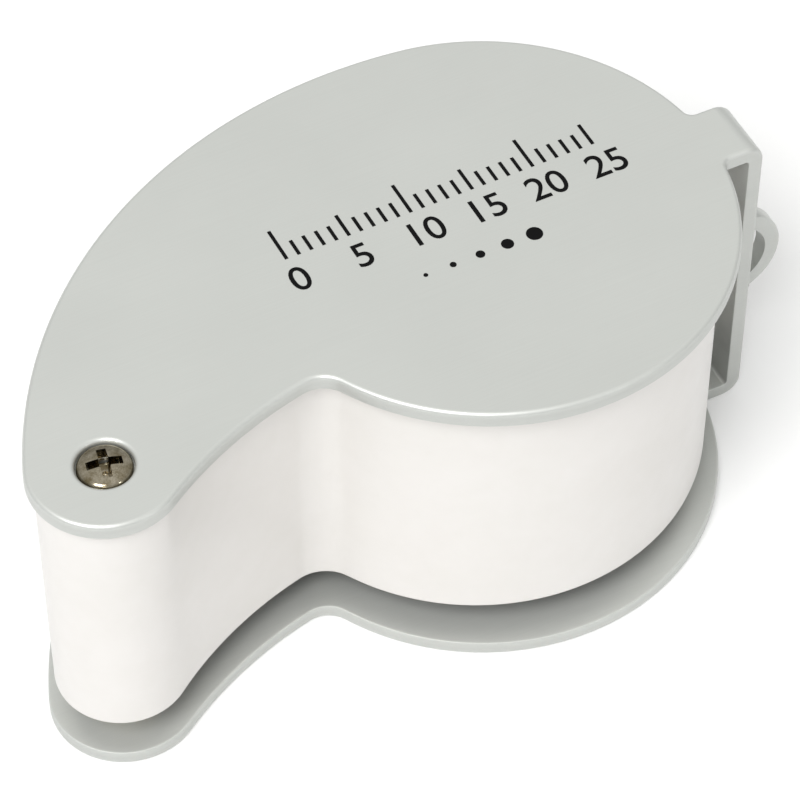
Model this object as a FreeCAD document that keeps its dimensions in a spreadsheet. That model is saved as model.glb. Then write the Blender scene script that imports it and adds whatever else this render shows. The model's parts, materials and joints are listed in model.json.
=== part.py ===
"""Folding viewing loupe: a lens body that swings out of a folded sheet-metal cover.

Frame: origin on the lens axis of the cover, on the plane the cover rests on. +Z points to the eye side,
+X from the pivot to the lens, +Y to the long convex side. Millimetres.
"""
import FreeCAD
import Part
import Sketcher
import math
import os

from FreeCAD import Placement, Rotation, Vector

# Driving dimensions: alias, value in millimetres or degrees, what it is.
DIMENSIONS = [
    ("sheet", 1.3, "thickness of the cover's sheet metal"),
    ("clear_height", 25.0, "space between the cover's two plates"),
    ("pivot_spacing", 34.8, "lens axis to pivot axis"),
    ("plate_lens", 18.5, "radius of a plate round the lens"),
    ("plate_pivot", 5.6, "radius of a plate round the pivot"),
    ("plate_back", 39.0, "radius of a plate's long convex edge"),
    ("plate_front", 34.5, "radius of a plate's shallow concave edge"),
    ("plate_notch", 2.2, "radius in the notch of a plate"),
    ("front_centre", 21.4, "lens axis to the centre of the concave edge, along X"),
    ("edge_round", 0.35, "rounding of the cover's outer edges"),
    ("spine_angle", 14.3, "spine's direction, turned from +X towards the notch, degrees"),
    ("spine_reach", 21.85, "lens axis to the outer face of the spine"),
    ("spine_width", 5.2, "width of the spine"),
    ("spine_root", 15.0, "where the spine's strip starts inside the plates"),
    ("bend_outer", 1.6, "outer radius of the two bends"),
    ("tab_fillet", 0.7, "radius where the spine's tab leaves the plate"),
    ("eye_width", 1.4, "width of the lanyard bridge"),
    ("eye_outer", 4.4, "outer radius of the lanyard bridge"),
    ("eye_inner", 3.3, "inner radius of the lanyard bridge"),
    ("eye_centre", 21.0, "lens axis to the centre of the lanyard bridge"),
    ("eye_height", 13.65, "height of the lanyard bridge's centre"),
    ("swing_rest", 1.3, "how far the lens body stands open at rest, degrees"),
    ("housing_lens", 17.75, "radius of the lens body round the lens"),
    ("housing_pivot", 5.0, "radius of the lens body round the pivot"),
    ("housing_back", 38.2, "radius of the lens body's convex side"),
    ("housing_front", 32.5, "radius of the lens body's concave side"),
    ("housing_notch", 3.0, "radius in the notch of the lens body"),
    ("housing_low", 4.05, "underside of the lens body"),
    ("housing_tall", 21.75, "height of the lens body"),
    ("wall", 1.2, "wall of the housing band"),
    ("fit_gap", 0.1, "clearance between the band and what it holds"),
    ("face", 1.4, "thickness of the frame's face and the object side cover"),
    ("face_sink", 0.2, "how far each face lies inside the band's edge"),
    ("bore", 12.55, "radius of the lens seats"),
    ("barrel", 14.1, "outer radius of the lens barrel"),
    ("stop_bore", 11.2, "radius of the stop between the two lenses"),
    ("stop_low", 10.75, "underside of the stop"),
    ("stop_tall", 8.85, "height of the stop"),
    ("lens_edge", 12.5, "radius of a lens, 25 mm across"),
    ("lens_curve", 30.0, "radius of curvature of every lens face"),
    ("lens_thick", 7.6, "thickness of a lens at its middle"),
    ("eye_lens_low", 17.6, "lowest point of the eye lens"),
    ("field_lens_low", 5.2, "lowest point of the field lens"),
    ("ring_bore", 11.3, "inner radius of a retaining ring"),
    ("ring_tall", 1.6, "height of a retaining ring"),
    ("eye_ring_low", 23.1, "underside of the eye side retaining ring"),
    ("field_ring_low", 5.7, "underside of the field side retaining ring"),
    ("spanner_slot", 1.2, "width of a ring's spanner slots"),
    ("post_radius", 1.55, "radius of the pivot post"),
    ("bush_outer", 2.3, "outer radius of a pivot bush"),
    ("bush_bore", 1.62, "bore radius of a pivot bush"),
    ("bush_tall", 5.0, "length of a pivot bush"),
    ("boss_radius", 3.3, "radius of the bosses that hold the bushes"),
    ("boss_tall", 4.0, "height of those bosses behind their face"),
    ("thread_radius", 1.0, "radius of the pivot screws' thread"),
    ("screw_head", 2.0, "head radius of the upper pivot screw"),
    ("screw_sink", 0.7, "depth of the recess for the upper screw head"),
    ("screw_recess", 2.08, "radius of the recess for the upper screw head"),
    ("head_tall", 0.95, "height of the upper screw's head"),
    ("head_dome", 3.2, "radius of that head's domed top"),
    ("low_head", 1.9, "head radius of the countersunk lower screw"),
    ("low_head_deep", 0.9, "depth of that head"),
    ("thread_long", 6.0, "length of the pivot screws' thread"),
    ("cross_long", 2.3, "length of a cross recess"),
    ("cross_wide", 0.55, "width of a cross recess"),
    ("cross_turn", -26.0, "turn of the cross recess from +X, degrees"),
    ("washer_outer", 2.8, "outer radius of the nylon washer"),
    ("washer_tall", 0.44, "thickness of the nylon washer"),
    ("collar_outer", 2.0, "outer radius of the spacer collar"),
    ("collar_tall", 1.75, "height of the spacer collar"),
    ("spring_wide", 2.9, "outer radius of the disc spring's rim"),
    ("spring_narrow", 2.3, "outer radius of the disc spring's crown"),
    ("spring_tall", 0.8, "height of the disc spring"),
    ("cell_radius", 5.8, "radius of a button cell"),
    ("cell_tall", 3.05, "height of a button cell"),
    ("cell_x", -22.8, "axis of the battery well, along X"),
    ("cell_y", 6.2, "axis of the battery well, along Y"),
    ("cell_low", 6.55, "underside of the lowest button cell"),
    ("well_outer", 6.6, "outer radius of the battery well"),
    ("well_bore", 5.95, "inner radius of the battery well"),
    ("well_roof", 16.55, "roof of the battery well"),
    ("pillar_radius", 1.6, "radius of the screw pillars"),
    ("pilot_radius", 0.72, "radius of the pilot holes"),
    ("small_thread", 0.7, "radius of the small screws' thread"),
    ("small_head", 1.3, "head radius of the small screws"),
    ("small_head_tall", 0.6, "height of the small screws' heads"),
    ("small_long", 6.2, "length of the small screws' thread"),
    ("driver_slot", 0.35, "width and depth of the small screws' slots"),
    ("lid_tall", 1.2, "thickness of the battery door"),
    ("ear_half", 1.9, "half the width of the battery door's ear"),
    ("led_ring", 16.1, "lens axis to a lamp's axis"),
    ("led_radius", 1.5, "radius of a lamp"),
    ("led_flange", 1.75, "radius of a lamp's flange"),
    ("led_low", 3.9, "lowest point of a lamp"),
    ("led_stem", 2.9, "length of a lamp's straight part"),
    ("led_flange_tall", 0.8, "height of a lamp's flange"),
    ("lead_radius", 0.22, "radius of a lamp's lead"),
    ("lead_long", 2.6, "length of a lamp's lead"),
    ("lead_apart", 0.6, "half the distance between a lamp's leads"),
    ("board", 0.7, "thickness of the circuit boards"),
    ("board_low", 9.6, "underside of the lamp board"),
    ("switch_x", -9.0, "middle of the slide switch, along X"),
    ("switch_y", 15.7, "middle of the slide switch's case, along Y"),
    ("switch_z", 15.0, "middle of the slide switch, along Z"),
    ("knob_wide", 2.6, "width of the switch knob"),
    ("knob_tall", 2.2, "height of the switch knob"),
    ("knob_travel", 2.0, "travel of the switch knob"),
    ("knob_reach", 20.3, "outer end of the switch knob, along Y"),
    ("case_wide", 8.4, "width of the switch case"),
    ("case_deep", 3.2, "depth of the switch case"),
    ("case_tall", 3.6, "height of the switch case"),
    ("case_skin", 0.4, "wall of the switch case"),
    ("switch_board_tall", 6.0, "height of the switch's board"),
    ("contact_sheet", 0.3, "thickness of the battery contacts"),
    ("contact_disc", 4.4, "radius of a contact's disc"),
    ("contact_dish", 1.8, "radius of a contact's dish"),
    ("wire_radius", 0.3, "radius of a wire"),
]
LAMP_ANGLES = (183.0, 128.0)
PILLARS = {"cover": (-15.6, 12.9), "door": (-28.4, 1.6)}
RUN_GAP = 0.03

doc = FreeCAD.newDocument("viewing_loupe")
sheet = doc.addObject("Spreadsheet::Sheet", "dims")
for row, (alias, value, meaning) in enumerate(DIMENSIONS, start=1):
    sheet.set(f"A{row}", meaning)
    sheet.set(f"B{row}", str(value))
    sheet.setAlias(f"B{row}", alias)
doc.recompute()

parts = []


def size(alias):
    """The value of a driving dimension."""
    return float(sheet.get(alias))


def swung():
    """The placement of everything on the lens body: turned about the pivot by the rest angle."""
    pivot = Vector(-size("pivot_spacing"), 0, 0)
    return Placement(Vector(0, 0, 0), Rotation(Vector(0, 0, 1), size("swing_rest")), pivot)


def keep(shape_object, label, placement=None):
    """Names an object as a sub-part of the loupe."""
    shape_object.Label = label
    if placement is not None:
        shape_object.Placement = placement
    parts.append(shape_object)
    return shape_object


def bind(target, **expressions):
    """Binds an object's properties to cells of the sheet. A double underscore stands for a dot."""
    for name, expression in expressions.items():
        target.setExpression(name.replace("__", "."), expression)
    return target


def cylinder(name, radius, height, low, x="0", y="0"):
    """An upright Part cylinder whose sizes and place are expressions."""
    made = doc.addObject("Part::Cylinder", name)
    return bind(made, Radius=radius, Height=height, Placement__Base__x=x, Placement__Base__y=y,
                Placement__Base__z=low)


def cone(name, low_radius, high_radius, height, low, x="0", y="0"):
    """An upright Part cone whose sizes and place are expressions."""
    made = doc.addObject("Part::Cone", name)
    return bind(made, Radius1=low_radius, Radius2=high_radius, Height=height,
                Placement__Base__x=x, Placement__Base__y=y, Placement__Base__z=low)


def sphere(name, radius, x, y, z):
    """A Part sphere whose size and place are expressions."""
    made = doc.addObject("Part::Sphere", name)
    return bind(made, Radius=radius, Placement__Base__x=x, Placement__Base__y=y, Placement__Base__z=z)


def block(name, wide, deep, tall, x, y, z):
    """A Part box from its lowest corner, with expressions."""
    made = doc.addObject("Part::Box", name)
    return bind(made, Length=wide, Width=deep, Height=tall, Placement__Base__x=x,
                Placement__Base__y=y, Placement__Base__z=z)


def cut(name, base, *tools):
    """The base less the tools."""
    for count, tool in enumerate(tools):
        made = doc.addObject("Part::Cut", f"{name}_{count}")
        made.Base = base
        made.Tool = tool
        base = made
    return base


def fuse(name, *shapes):
    """All the shapes as one."""
    made = doc.addObject("Part::MultiFuse", name)
    made.Shapes = list(shapes)
    made.Refine = True
    return made


def common(name, *shapes):
    """What the shapes share."""
    made = doc.addObject("Part::MultiCommon", name)
    made.Shapes = list(shapes)
    return made


def new_body(name):
    return doc.addObject("PartDesign::Body", name)


def new_sketch(body, name, plane="XY_Plane", height=None):
    """A sketch on one of its body's own planes, raised by an expression."""
    sketch = body.newObject("Sketcher::SketchObject", name)
    support = next(f for f in body.Origin.OriginFeatures if f.Role == plane)
    sketch.AttachmentSupport = [(support, "")]
    sketch.MapMode = "FlatFace"
    if height is not None:
        sketch.setExpression("AttachmentOffset.Base.z", height)
    return sketch


def pad(body, sketch, length, symmetric=False, reverse=False):
    made = body.newObject("PartDesign::Pad", sketch.Name + "_pad")
    made.Profile = sketch
    made.setExpression("Length", length)
    made.Midplane = symmetric
    made.Reversed = reverse
    return made


def pocket(body, sketch, length, symmetric=False, reverse=False):
    made = body.newObject("PartDesign::Pocket", sketch.Name + "_pocket")
    made.Profile = sketch
    made.setExpression("Length", length)
    made.Midplane = symmetric
    made.Reversed = reverse
    return made


def toward(start, end):
    return math.atan2(end[1] - start[1], end[0] - start[0])


def comma(sketch, family, inset=()):
    """Draws the comma-shaped outline of a family, plate or housing, inset by the named sizes.

    Five tangent arcs: round the lens, along the convex back, round the pivot, along the concave front and
    in the notch.
    """
    shrink = sum(size(name) for name in inset)
    less = "".join(f" - dims.{name}" for name in inset)
    more = "".join(f" + dims.{name}" for name in inset)
    lens_r = size(family + "_lens") - shrink
    pivot_r = size(family + "_pivot") - shrink
    back_r = size(family + "_back") - shrink
    front_r = size(family + "_front") + shrink
    notch_r = size(family + "_notch") + shrink
    spacing = size("pivot_spacing")
    lens, pivot = (0.0, 0.0), (-spacing, 0.0)
    near, far = back_r - lens_r, back_r - pivot_r
    back_x = (far ** 2 - near ** 2 - spacing ** 2) / (2 * spacing)
    back = (back_x, -math.sqrt(near ** 2 - back_x ** 2))
    front_x = -size("front_centre")
    front = (front_x, -math.sqrt((pivot_r + front_r) ** 2 - (front_x + spacing) ** 2))
    # The notch's centre lies where two circles cross, on the pivot's side.
    reach, from_front = lens_r + notch_r, front_r - notch_r
    gap = math.hypot(*front)
    along = (reach ** 2 - from_front ** 2 + gap ** 2) / (2 * gap)
    across = math.sqrt(reach ** 2 - along ** 2)
    unit = (front[0] / gap, front[1] / gap)
    notch = (along * unit[0] + across * unit[1], along * unit[1] - across * unit[0])
    arcs = [
        (lens, lens_r, toward(lens, notch), toward(back, lens)),
        (back, back_r, toward(back, lens), toward(back, pivot)),
        (pivot, pivot_r, toward(back, pivot), toward(pivot, front)),
        (front, front_r, toward(front, notch), toward(front, pivot)),
        (notch, notch_r, toward(notch, lens), toward(front, notch)),
    ]
    first = sketch.GeometryCount
    for centre, radius, start, end in arcs:
        circle = Part.Circle(Vector(*centre, 0), Vector(0, 0, 1), radius)
        sketch.addGeometry(Part.ArcOfCircle(circle, start, end), False)
    lens_arc, back_arc, pivot_arc, front_arc, notch_arc = range(first, first + 5)
    for one, one_end, other, other_end in (
        (lens_arc, 2, back_arc, 1),
        (back_arc, 2, pivot_arc, 1),
        (pivot_arc, 2, front_arc, 2),
        (front_arc, 1, notch_arc, 2),
        (notch_arc, 1, lens_arc, 1),
    ):
        sketch.addConstraint(Sketcher.Constraint("Tangent", one, one_end, other, other_end))
    sketch.addConstraint(Sketcher.Constraint("Coincident", lens_arc, 3, -1, 1))
    sketch.addConstraint(Sketcher.Constraint("PointOnObject", pivot_arc, 3, -1))
    for kind, geometry, value, expression in (
        ("DistanceX", pivot_arc, spacing, "dims.pivot_spacing"),
        ("DistanceX", front_arc, -front_x, "dims.front_centre"),
    ):
        index = sketch.addConstraint(Sketcher.Constraint(kind, geometry, 3, -1, 1, value))
        sketch.setExpression(f"Constraints[{index}]", expression)
    for geometry, name, value, change in (
        (lens_arc, "_lens", lens_r, less),
        (back_arc, "_back", back_r, less),
        (pivot_arc, "_pivot", pivot_r, less),
        (front_arc, "_front", front_r, more),
        (notch_arc, "_notch", notch_r, more),
    ):
        index = sketch.addConstraint(Sketcher.Constraint("Radius", geometry, value))
        sketch.setExpression(f"Constraints[{index}]", f"dims.{family}{name}{change}")


def circle(sketch, radius, x=None, y=None):
    """A circle bound to an expression, at the sketch's origin or at a bound point."""
    number = sketch.GeometryCount
    middle = Vector(0 if x is None else x[0], 0 if y is None else y[0], 0)
    sketch.addGeometry(Part.Circle(middle, Vector(0, 0, 1), radius[0]), False)
    index = sketch.addConstraint(Sketcher.Constraint("Radius", number, radius[0]))
    sketch.setExpression(f"Constraints[{index}]", radius[1])
    if x is None and y is None:
        sketch.addConstraint(Sketcher.Constraint("Coincident", number, 3, -1, 1))
        return number
    for kind, given in (("DistanceX", x), ("DistanceY", y)):
        index = sketch.addConstraint(Sketcher.Constraint(kind, -1, 1, number, 3, given[0]))
        sketch.setExpression(f"Constraints[{index}]", given[1])
    return number


def sized(alias, change=0.0):
    """A driving dimension as a (value, expression) pair, with a fixed allowance added."""
    return size(alias) + change, f"dims.{alias} + {change}"


def pivot_circle(sketch, radius):
    return circle(sketch, radius, (-size("pivot_spacing"), "-dims.pivot_spacing"), (0.0, "0"))


def well_circle(sketch, radius):
    return circle(sketch, radius, sized("cell_x"), sized("cell_y"))


def pillar_circle(sketch, name, radius):
    x, y = PILLARS[name]
    return circle(sketch, radius, (x, str(x)), (y, str(y)))


def polygon(sketch, points):
    """A closed outline of straight lines through the points, blocked where they lie."""
    first = sketch.GeometryCount
    for start, end in zip(points, points[1:] + points[:1]):
        sketch.addGeometry(Part.LineSegment(Vector(*start, 0), Vector(*end, 0)), False)
    last = sketch.GeometryCount - 1
    for number in range(first, last + 1):
        following = number + 1 if number < last else first
        sketch.addConstraint(Sketcher.Constraint("Coincident", number, 2, following, 1))
        sketch.addConstraint(Sketcher.Constraint("Block", number))


def turned_to_spine(sketch):
    """Turns an upright sketch so that its X runs outwards along the middle of the spine."""
    sketch.AttachmentOffset = Placement(Vector(0, 0, 0), Rotation(Vector(0, 1, 0), -size("spine_angle")))


def along_spine(point):
    """A point's distance from the lens axis along the spine's direction, and its offset from its middle."""
    angle = math.radians(size("spine_angle"))
    outward = Vector(math.cos(angle), -math.sin(angle), 0)
    across = Vector(math.sin(angle), math.cos(angle), 0)
    return point.dot(outward), point.dot(across)


def folded_cover():
    """The cover: two plates joined by a narrow spine, folded from one sheet, with a lanyard bridge."""
    body = new_body("folded_cover")
    top = "dims.sheet + dims.clear_height"
    for name, height in (("plate_low", None), ("plate_high", top)):
        sketch = new_sketch(body, name, height=height)
        comma(sketch, "plate")
        doc.recompute()
        pad(body, sketch, "dims.sheet")
        if name == "plate_low":
            doc.recompute()
            strip_section(body)
    bridge(body)
    pivot_holes(body)
    doc.recompute()
    body.Tip = round_tab_corners(body)
    doc.recompute()
    body.Tip = round_outer_edges(body)
    return keep(body, "folded_cover")


def strip_section(body):
    """The U-shaped strip: plate, bend, spine, bend, plate. Its profile is padded across the spine."""
    sketch = new_sketch(body, "strip", plane="XZ_Plane")
    turned_to_spine(sketch)
    thick, reach, root = size("sheet"), size("spine_reach"), size("spine_root")
    high = 2 * thick + size("clear_height")
    outer = size("bend_outer")
    inner = outer - thick
    low_mid, high_mid = Vector(reach - outer, outer, 0), Vector(reach - outer, high - outer, 0)
    up = Vector(0, 0, 1)
    quarter = math.pi / 2
    lines = [
        ((root, 0), (reach - outer, 0)),
        ((reach, outer), (reach, high - outer)),
        ((reach - outer, high), (root, high)),
        ((root, high), (root, high - thick)),
        ((root, high - thick), (reach - outer, high - thick)),
        ((reach - thick, high - outer), (reach - thick, outer)),
        ((reach - outer, thick), (root, thick)),
        ((root, thick), (root, 0)),
    ]
    for start, end in lines:
        sketch.addGeometry(Part.LineSegment(Vector(*start, 0), Vector(*end, 0)), False)
    for middle, radius, start in (
        (low_mid, outer, -quarter),
        (high_mid, outer, 0),
        (high_mid, inner, 0),
        (low_mid, inner, -quarter),
    ):
        bend = Part.Circle(middle, up, radius)
        sketch.addGeometry(Part.ArcOfCircle(bend, start, start + quarter), False)
    for number in range(sketch.GeometryCount):
        sketch.addConstraint(Sketcher.Constraint("Block", number))
    doc.recompute()
    pad(body, sketch, "dims.spine_width", symmetric=True)
    doc.recompute()


def bridge(body):
    """The lanyard bridge: a strip of the spine pushed outwards into a loop."""
    thick, reach = size("sheet"), size("spine_reach")
    middle = Vector(size("eye_centre"), size("eye_height"), 0)
    outer, inner = size("eye_outer"), size("eye_inner")
    face = reach - thick / 2
    half = math.acos((face - middle.x) / outer)
    sketch = new_sketch(body, "bridge_outer", plane="XZ_Plane")
    turned_to_spine(sketch)
    loop = Part.Circle(middle, Vector(0, 0, 1), outer)
    sketch.addGeometry(Part.ArcOfCircle(loop, -half, half), False)
    rise = outer * math.sin(half)
    start, end = Vector(face, middle.y + rise, 0), Vector(face, middle.y - rise, 0)
    sketch.addGeometry(Part.LineSegment(start, end), False)
    for number in (0, 1):
        sketch.addConstraint(Sketcher.Constraint("Block", number))
    doc.recompute()
    pad(body, sketch, "dims.eye_width", symmetric=True)
    doc.recompute()
    hole = new_sketch(body, "bridge_inner", plane="XZ_Plane")
    turned_to_spine(hole)
    circle(hole, (inner, "dims.eye_inner"), (middle.x, "dims.eye_centre"), (middle.y, "dims.eye_height"))
    doc.recompute()
    pocket(body, hole, "dims.eye_width", symmetric=True)
    doc.recompute()


def pivot_holes(body):
    """The screw holes through both plates and the round recess for the upper screw's head."""
    hole = new_sketch(body, "screw_hole")
    pivot_circle(hole, sized("thread_radius", 0.1))
    doc.recompute()
    pocket(body, hole, "2 * dims.sheet + dims.clear_height", reverse=True)
    doc.recompute()
    recess = new_sketch(body, "head_recess", height="2 * dims.sheet + dims.clear_height")
    pivot_circle(recess, sized("screw_recess"))
    doc.recompute()
    pocket(body, recess, "dims.screw_sink")
    doc.recompute()
    sink = new_sketch(body, "countersink", plane="XZ_Plane")
    polygon(sink, countersink_points(0.05))
    doc.recompute()
    groove = body.newObject("PartDesign::Groove", "countersink_groove")
    groove.Profile = sink
    axis = sink.addGeometry(Part.LineSegment(Vector(-size("pivot_spacing"), 0, 0),
                                             Vector(-size("pivot_spacing"), 5, 0)), True)
    sink.addConstraint(Sketcher.Constraint("Block", axis))
    doc.recompute()
    groove.ReferenceAxis = (sink, ["Axis0"])
    groove.Angle = 360
    doc.recompute()


def countersink_points(allowance):
    """Half the section of the lower screw's countersunk head, larger by the allowance."""
    middle = -size("pivot_spacing")
    rim, depth = size("low_head") + allowance, size("low_head_deep")
    return [(middle, 0.0), (middle + rim, 0.0), (middle + rim - depth, depth), (middle, depth)]


def edges_where(shape, test):
    """Names of the edges whose samples all pass a test."""
    found = []
    for number, edge in enumerate(shape.Edges, start=1):
        low, high = edge.ParameterRange
        samples = [edge.valueAt(low + (high - low) * step / 4) for step in range(5)]
        if all(test(point) for point in samples):
            found.append(f"Edge{number}")
    return found


def fillet(body, base, edges, radius):
    made = body.newObject("PartDesign::Fillet", f"round_{len(body.Group)}")
    made.Base = (base, edges)
    made.setExpression("Radius", radius)
    return made


def round_tab_corners(body):
    """Rounds the four inside corners where the spine's tab leaves the plates."""
    half = size("spine_width") / 2
    radius = size("plate_lens")

    def at_corner(point):
        out, side = along_spine(point)
        return abs(abs(side) - half) < 0.05 and abs(math.hypot(point.x, point.y) - radius) < 0.05

    return fillet(body, body.Tip, edges_where(body.Shape, at_corner), "dims.tab_fillet")


def round_outer_edges(body):
    """Rounds the edges of the sheet's outer face: both plates' outlines and the spine's two sides."""
    half, reach = size("spine_width") / 2, size("spine_reach")
    high = 2 * size("sheet") + size("clear_height")
    bend = size("bend_outer")
    pivot = Vector(-size("pivot_spacing"), 0, 0)

    def on_recess(point):
        apart = Vector(point.x, point.y, 0).distanceToPoint(pivot)
        return abs(apart - size("screw_recess")) < 0.01 and abs(point.z - high) < 0.01

    def on_outer_face(point):
        out, side = along_spine(point)
        if abs(point.z) < 0.01 or abs(point.z - high) < 0.01:
            return Vector(point.x, point.y, 0).distanceToPoint(pivot) > 3.0 or on_recess(point)
        if abs(abs(side) - half) > 0.01:
            return False
        if abs(out - reach) < 0.01:
            return True
        for level in (bend, high - bend):
            if abs(math.hypot(out - (reach - bend), point.z - level) - bend) < 0.01 and out > reach - bend:
                return True
        return False

    def on_fold_line(point):
        return abs(along_spine(point)[0] - (reach - bend)) < 0.01

    folds = edges_where(body.Shape, on_fold_line)
    outer = [name for name in edges_where(body.Shape, on_outer_face) if name not in folds]
    return fillet(body, body.Tip, outer, "dims.edge_round")


def ring(name, label, outer, bore, tall, low):
    """An upright ring on the pivot, kept as a sub-part."""
    x = "-dims.pivot_spacing"
    blank = cylinder(f"{name}_blank", outer, tall, low, x=x)
    hole = cylinder(f"{name}_hole", bore, f"{tall} + 2", f"{low} - 1", x=x)
    keep(cut(name, blank, hole), label)


def screws_and_post():
    """The pivot: a tapped post between the plates, a screw at each end, a washer, a collar and a spring."""
    x = "-dims.pivot_spacing"
    top = "2 * dims.sheet + dims.clear_height"
    tapped = "dims.thread_radius + 0.02"
    ring("post", "pivot_post", "dims.post_radius", tapped, "dims.clear_height", "dims.sheet")

    seat = f"{top} - dims.screw_sink"
    shank_low = f"{seat} - dims.thread_long + 0.1"
    shank = cylinder("top_shank", "dims.thread_radius", "dims.thread_long", shank_low, x=x)
    head = cylinder("top_head", "dims.screw_head", "dims.head_tall", seat, x=x)
    dome = sphere("top_dome", "dims.head_dome", x, "0", f"{seat} + dims.head_tall - dims.head_dome")
    blank = fuse("top_blank", shank, common("top_cap", head, dome))
    keep(cross_cut("pivot_screw_top", blank, f"{seat} + 0.1", 1.1), "pivot_screw_top")

    low_shank = cylinder("low_shank", "dims.thread_radius", "dims.thread_long", "0.2", x=x)
    low_head = cone("low_head", "dims.low_head", "dims.low_head - dims.low_head_deep",
                    "dims.low_head_deep", "0", x=x)
    low_blank = fuse("low_blank", low_shank, low_head)
    keep(cross_cut("pivot_screw_bottom", low_blank, "-0.3", 1.0), "pivot_screw_bottom")

    washer_low = f"{top} - dims.sheet - dims.washer_tall - {RUN_GAP}"
    ring("washer", "upper_washer", "dims.washer_outer", "dims.bush_bore", "dims.washer_tall", washer_low)
    collar_low = f"dims.sheet + {RUN_GAP}"
    ring("collar", "spacer_collar", "dims.collar_outer", "dims.bush_bore", "dims.collar_tall", collar_low)

    spring_low = f"dims.sheet + dims.collar_tall + {3 * RUN_GAP}"
    spring = cone("spring_blank", "dims.spring_wide", "dims.spring_narrow", "dims.spring_tall",
                  spring_low, x=x)
    under = cone("spring_under", "dims.spring_wide - 0.3", "dims.spring_narrow - 0.6",
                 "dims.spring_tall - 0.3", f"{spring_low} - 0.01", x=x)
    spring_hole = cylinder("spring_hole", "dims.bush_bore", "dims.spring_tall + 2", f"{spring_low} - 1", x=x)
    keep(cut("disc_spring", spring, under, spring_hole), "disc_spring")


def cross_cut(name, blank, low, deep):
    """Cuts a cross recess into a screw head at the pivot, from a height up by a depth."""
    arms = []
    long, wide, turn = size("cross_long"), size("cross_wide"), size("cross_turn")
    centre = Vector(-size("pivot_spacing"), 0, 0)
    for number, angle in enumerate((turn, turn + 90)):
        place = Rotation(Vector(0, 0, 1), angle)
        corner = centre - place.multVec(Vector(long / 2, wide / 2, 0))
        arm = doc.addObject("Part::Box", f"{name}_arm{number}")
        arm.Placement = Placement(corner, place)
        bind(arm, Length="dims.cross_long", Width="dims.cross_wide", Height=str(deep), Placement__Base__z=low)
        arms.append(arm)
    return cut(name, blank, *arms)


def housing_band():
    """The white band: one continuous wall round the lens body, with a slot for the switch knob."""
    body = new_body("housing_band")
    sketch = new_sketch(body, "band_outline", height="dims.housing_low")
    comma(sketch, "housing")
    comma(sketch, "housing", inset=("wall",))
    doc.recompute()
    pad(body, sketch, "dims.housing_tall")
    doc.recompute()
    slot = new_sketch(body, "switch_slot", plane="XZ_Plane")
    half_wide = (size("knob_wide") + size("knob_travel")) / 2 + 0.25
    half_tall = size("knob_tall") / 2 + 0.2
    x, z = size("switch_x"), size("switch_z")
    polygon(slot, [(x - half_wide, z - half_tall), (x + half_wide, z - half_tall),
                   (x + half_wide, z + half_tall), (x - half_wide, z + half_tall)])
    doc.recompute()
    pocket(body, slot, "22")
    return keep(body, "housing_band", swung())


def inner_frame():
    """The moulded frame: eye side face, lens barrel with its stop, battery well, pillars and pivot boss."""
    body = new_body("inner_frame")
    face_low = "dims.housing_low + dims.housing_tall - dims.face_sink - dims.face"
    inside_low = "dims.housing_low + dims.face_sink + dims.face"
    deep = "dims.housing_tall - 2 * dims.face_sink - 2 * dims.face"
    face = new_sketch(body, "face", height=face_low)
    comma(face, "housing", inset=("wall", "fit_gap"))
    circle(face, sized("bore"))
    pivot_circle(face, sized("bush_outer"))
    doc.recompute()
    pad(body, face, "dims.face")
    doc.recompute()
    barrel = new_sketch(body, "barrel", height=inside_low)
    circle(barrel, sized("barrel"))
    circle(barrel, sized("bore"))
    doc.recompute()
    pad(body, barrel, deep)
    doc.recompute()
    stop = new_sketch(body, "stop", height="dims.stop_low")
    circle(stop, sized("bore", 0.2))
    circle(stop, sized("stop_bore"))
    doc.recompute()
    pad(body, stop, "dims.stop_tall")
    doc.recompute()
    well = new_sketch(body, "well", height=f"{inside_low} + {RUN_GAP}")
    well_circle(well, sized("well_outer"))
    doc.recompute()
    pad(body, well, f"{deep} - {RUN_GAP}")
    doc.recompute()
    for name in PILLARS:
        pillar = new_sketch(body, f"pillar_{name}", height=f"{inside_low} + {RUN_GAP}")
        pillar_circle(pillar, name, sized("pillar_radius"))
        doc.recompute()
        pad(body, pillar, f"{deep} - {RUN_GAP}")
        doc.recompute()
        pilot = new_sketch(body, f"pilot_{name}", height=f"{inside_low} + 7")
        pillar_circle(pilot, name, sized("pilot_radius"))
        doc.recompute()
        pocket(body, pilot, "8")
        doc.recompute()
    hollow = new_sketch(body, "well_hollow", height="dims.well_roof")
    well_circle(hollow, sized("well_bore"))
    doc.recompute()
    pocket(body, hollow, f"dims.well_roof - {size('housing_low')}")
    doc.recompute()
    boss = new_sketch(body, "bush_boss", height=f"{face_low} - dims.boss_tall")
    pivot_circle(boss, sized("boss_radius", -0.05))
    pivot_circle(boss, sized("bush_outer"))
    doc.recompute()
    pad(body, boss, "dims.boss_tall")
    doc.recompute()
    contact_slots(body)
    return keep(body, "inner_frame", swung())


def contact_slots(body):
    """The two slots in the battery well's wall that the contacts' tongues pass through."""
    x, y = size("cell_x"), size("cell_y")
    for name, angle, low, tall in (("slot_high", 60.0, size("well_roof") - 1.2, 1.2),
                                   ("slot_low", -12.0, size("housing_low"), 3.2)):
        turn = math.radians(angle)
        out, side = Vector(math.cos(turn), math.sin(turn), 0), Vector(-math.sin(turn), math.cos(turn), 0)
        middle = Vector(x, y, 0)
        corners = [middle + out * reach + side * shift
                   for reach, shift in ((4.0, -1.3), (7.5, -1.3), (7.5, 1.3), (4.0, 1.3))]
        sketch = new_sketch(body, name, height=str(low + tall))
        polygon(sketch, [(corner.x, corner.y) for corner in corners])
        doc.recompute()
        pocket(body, sketch, str(tall))
        doc.recompute()


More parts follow.
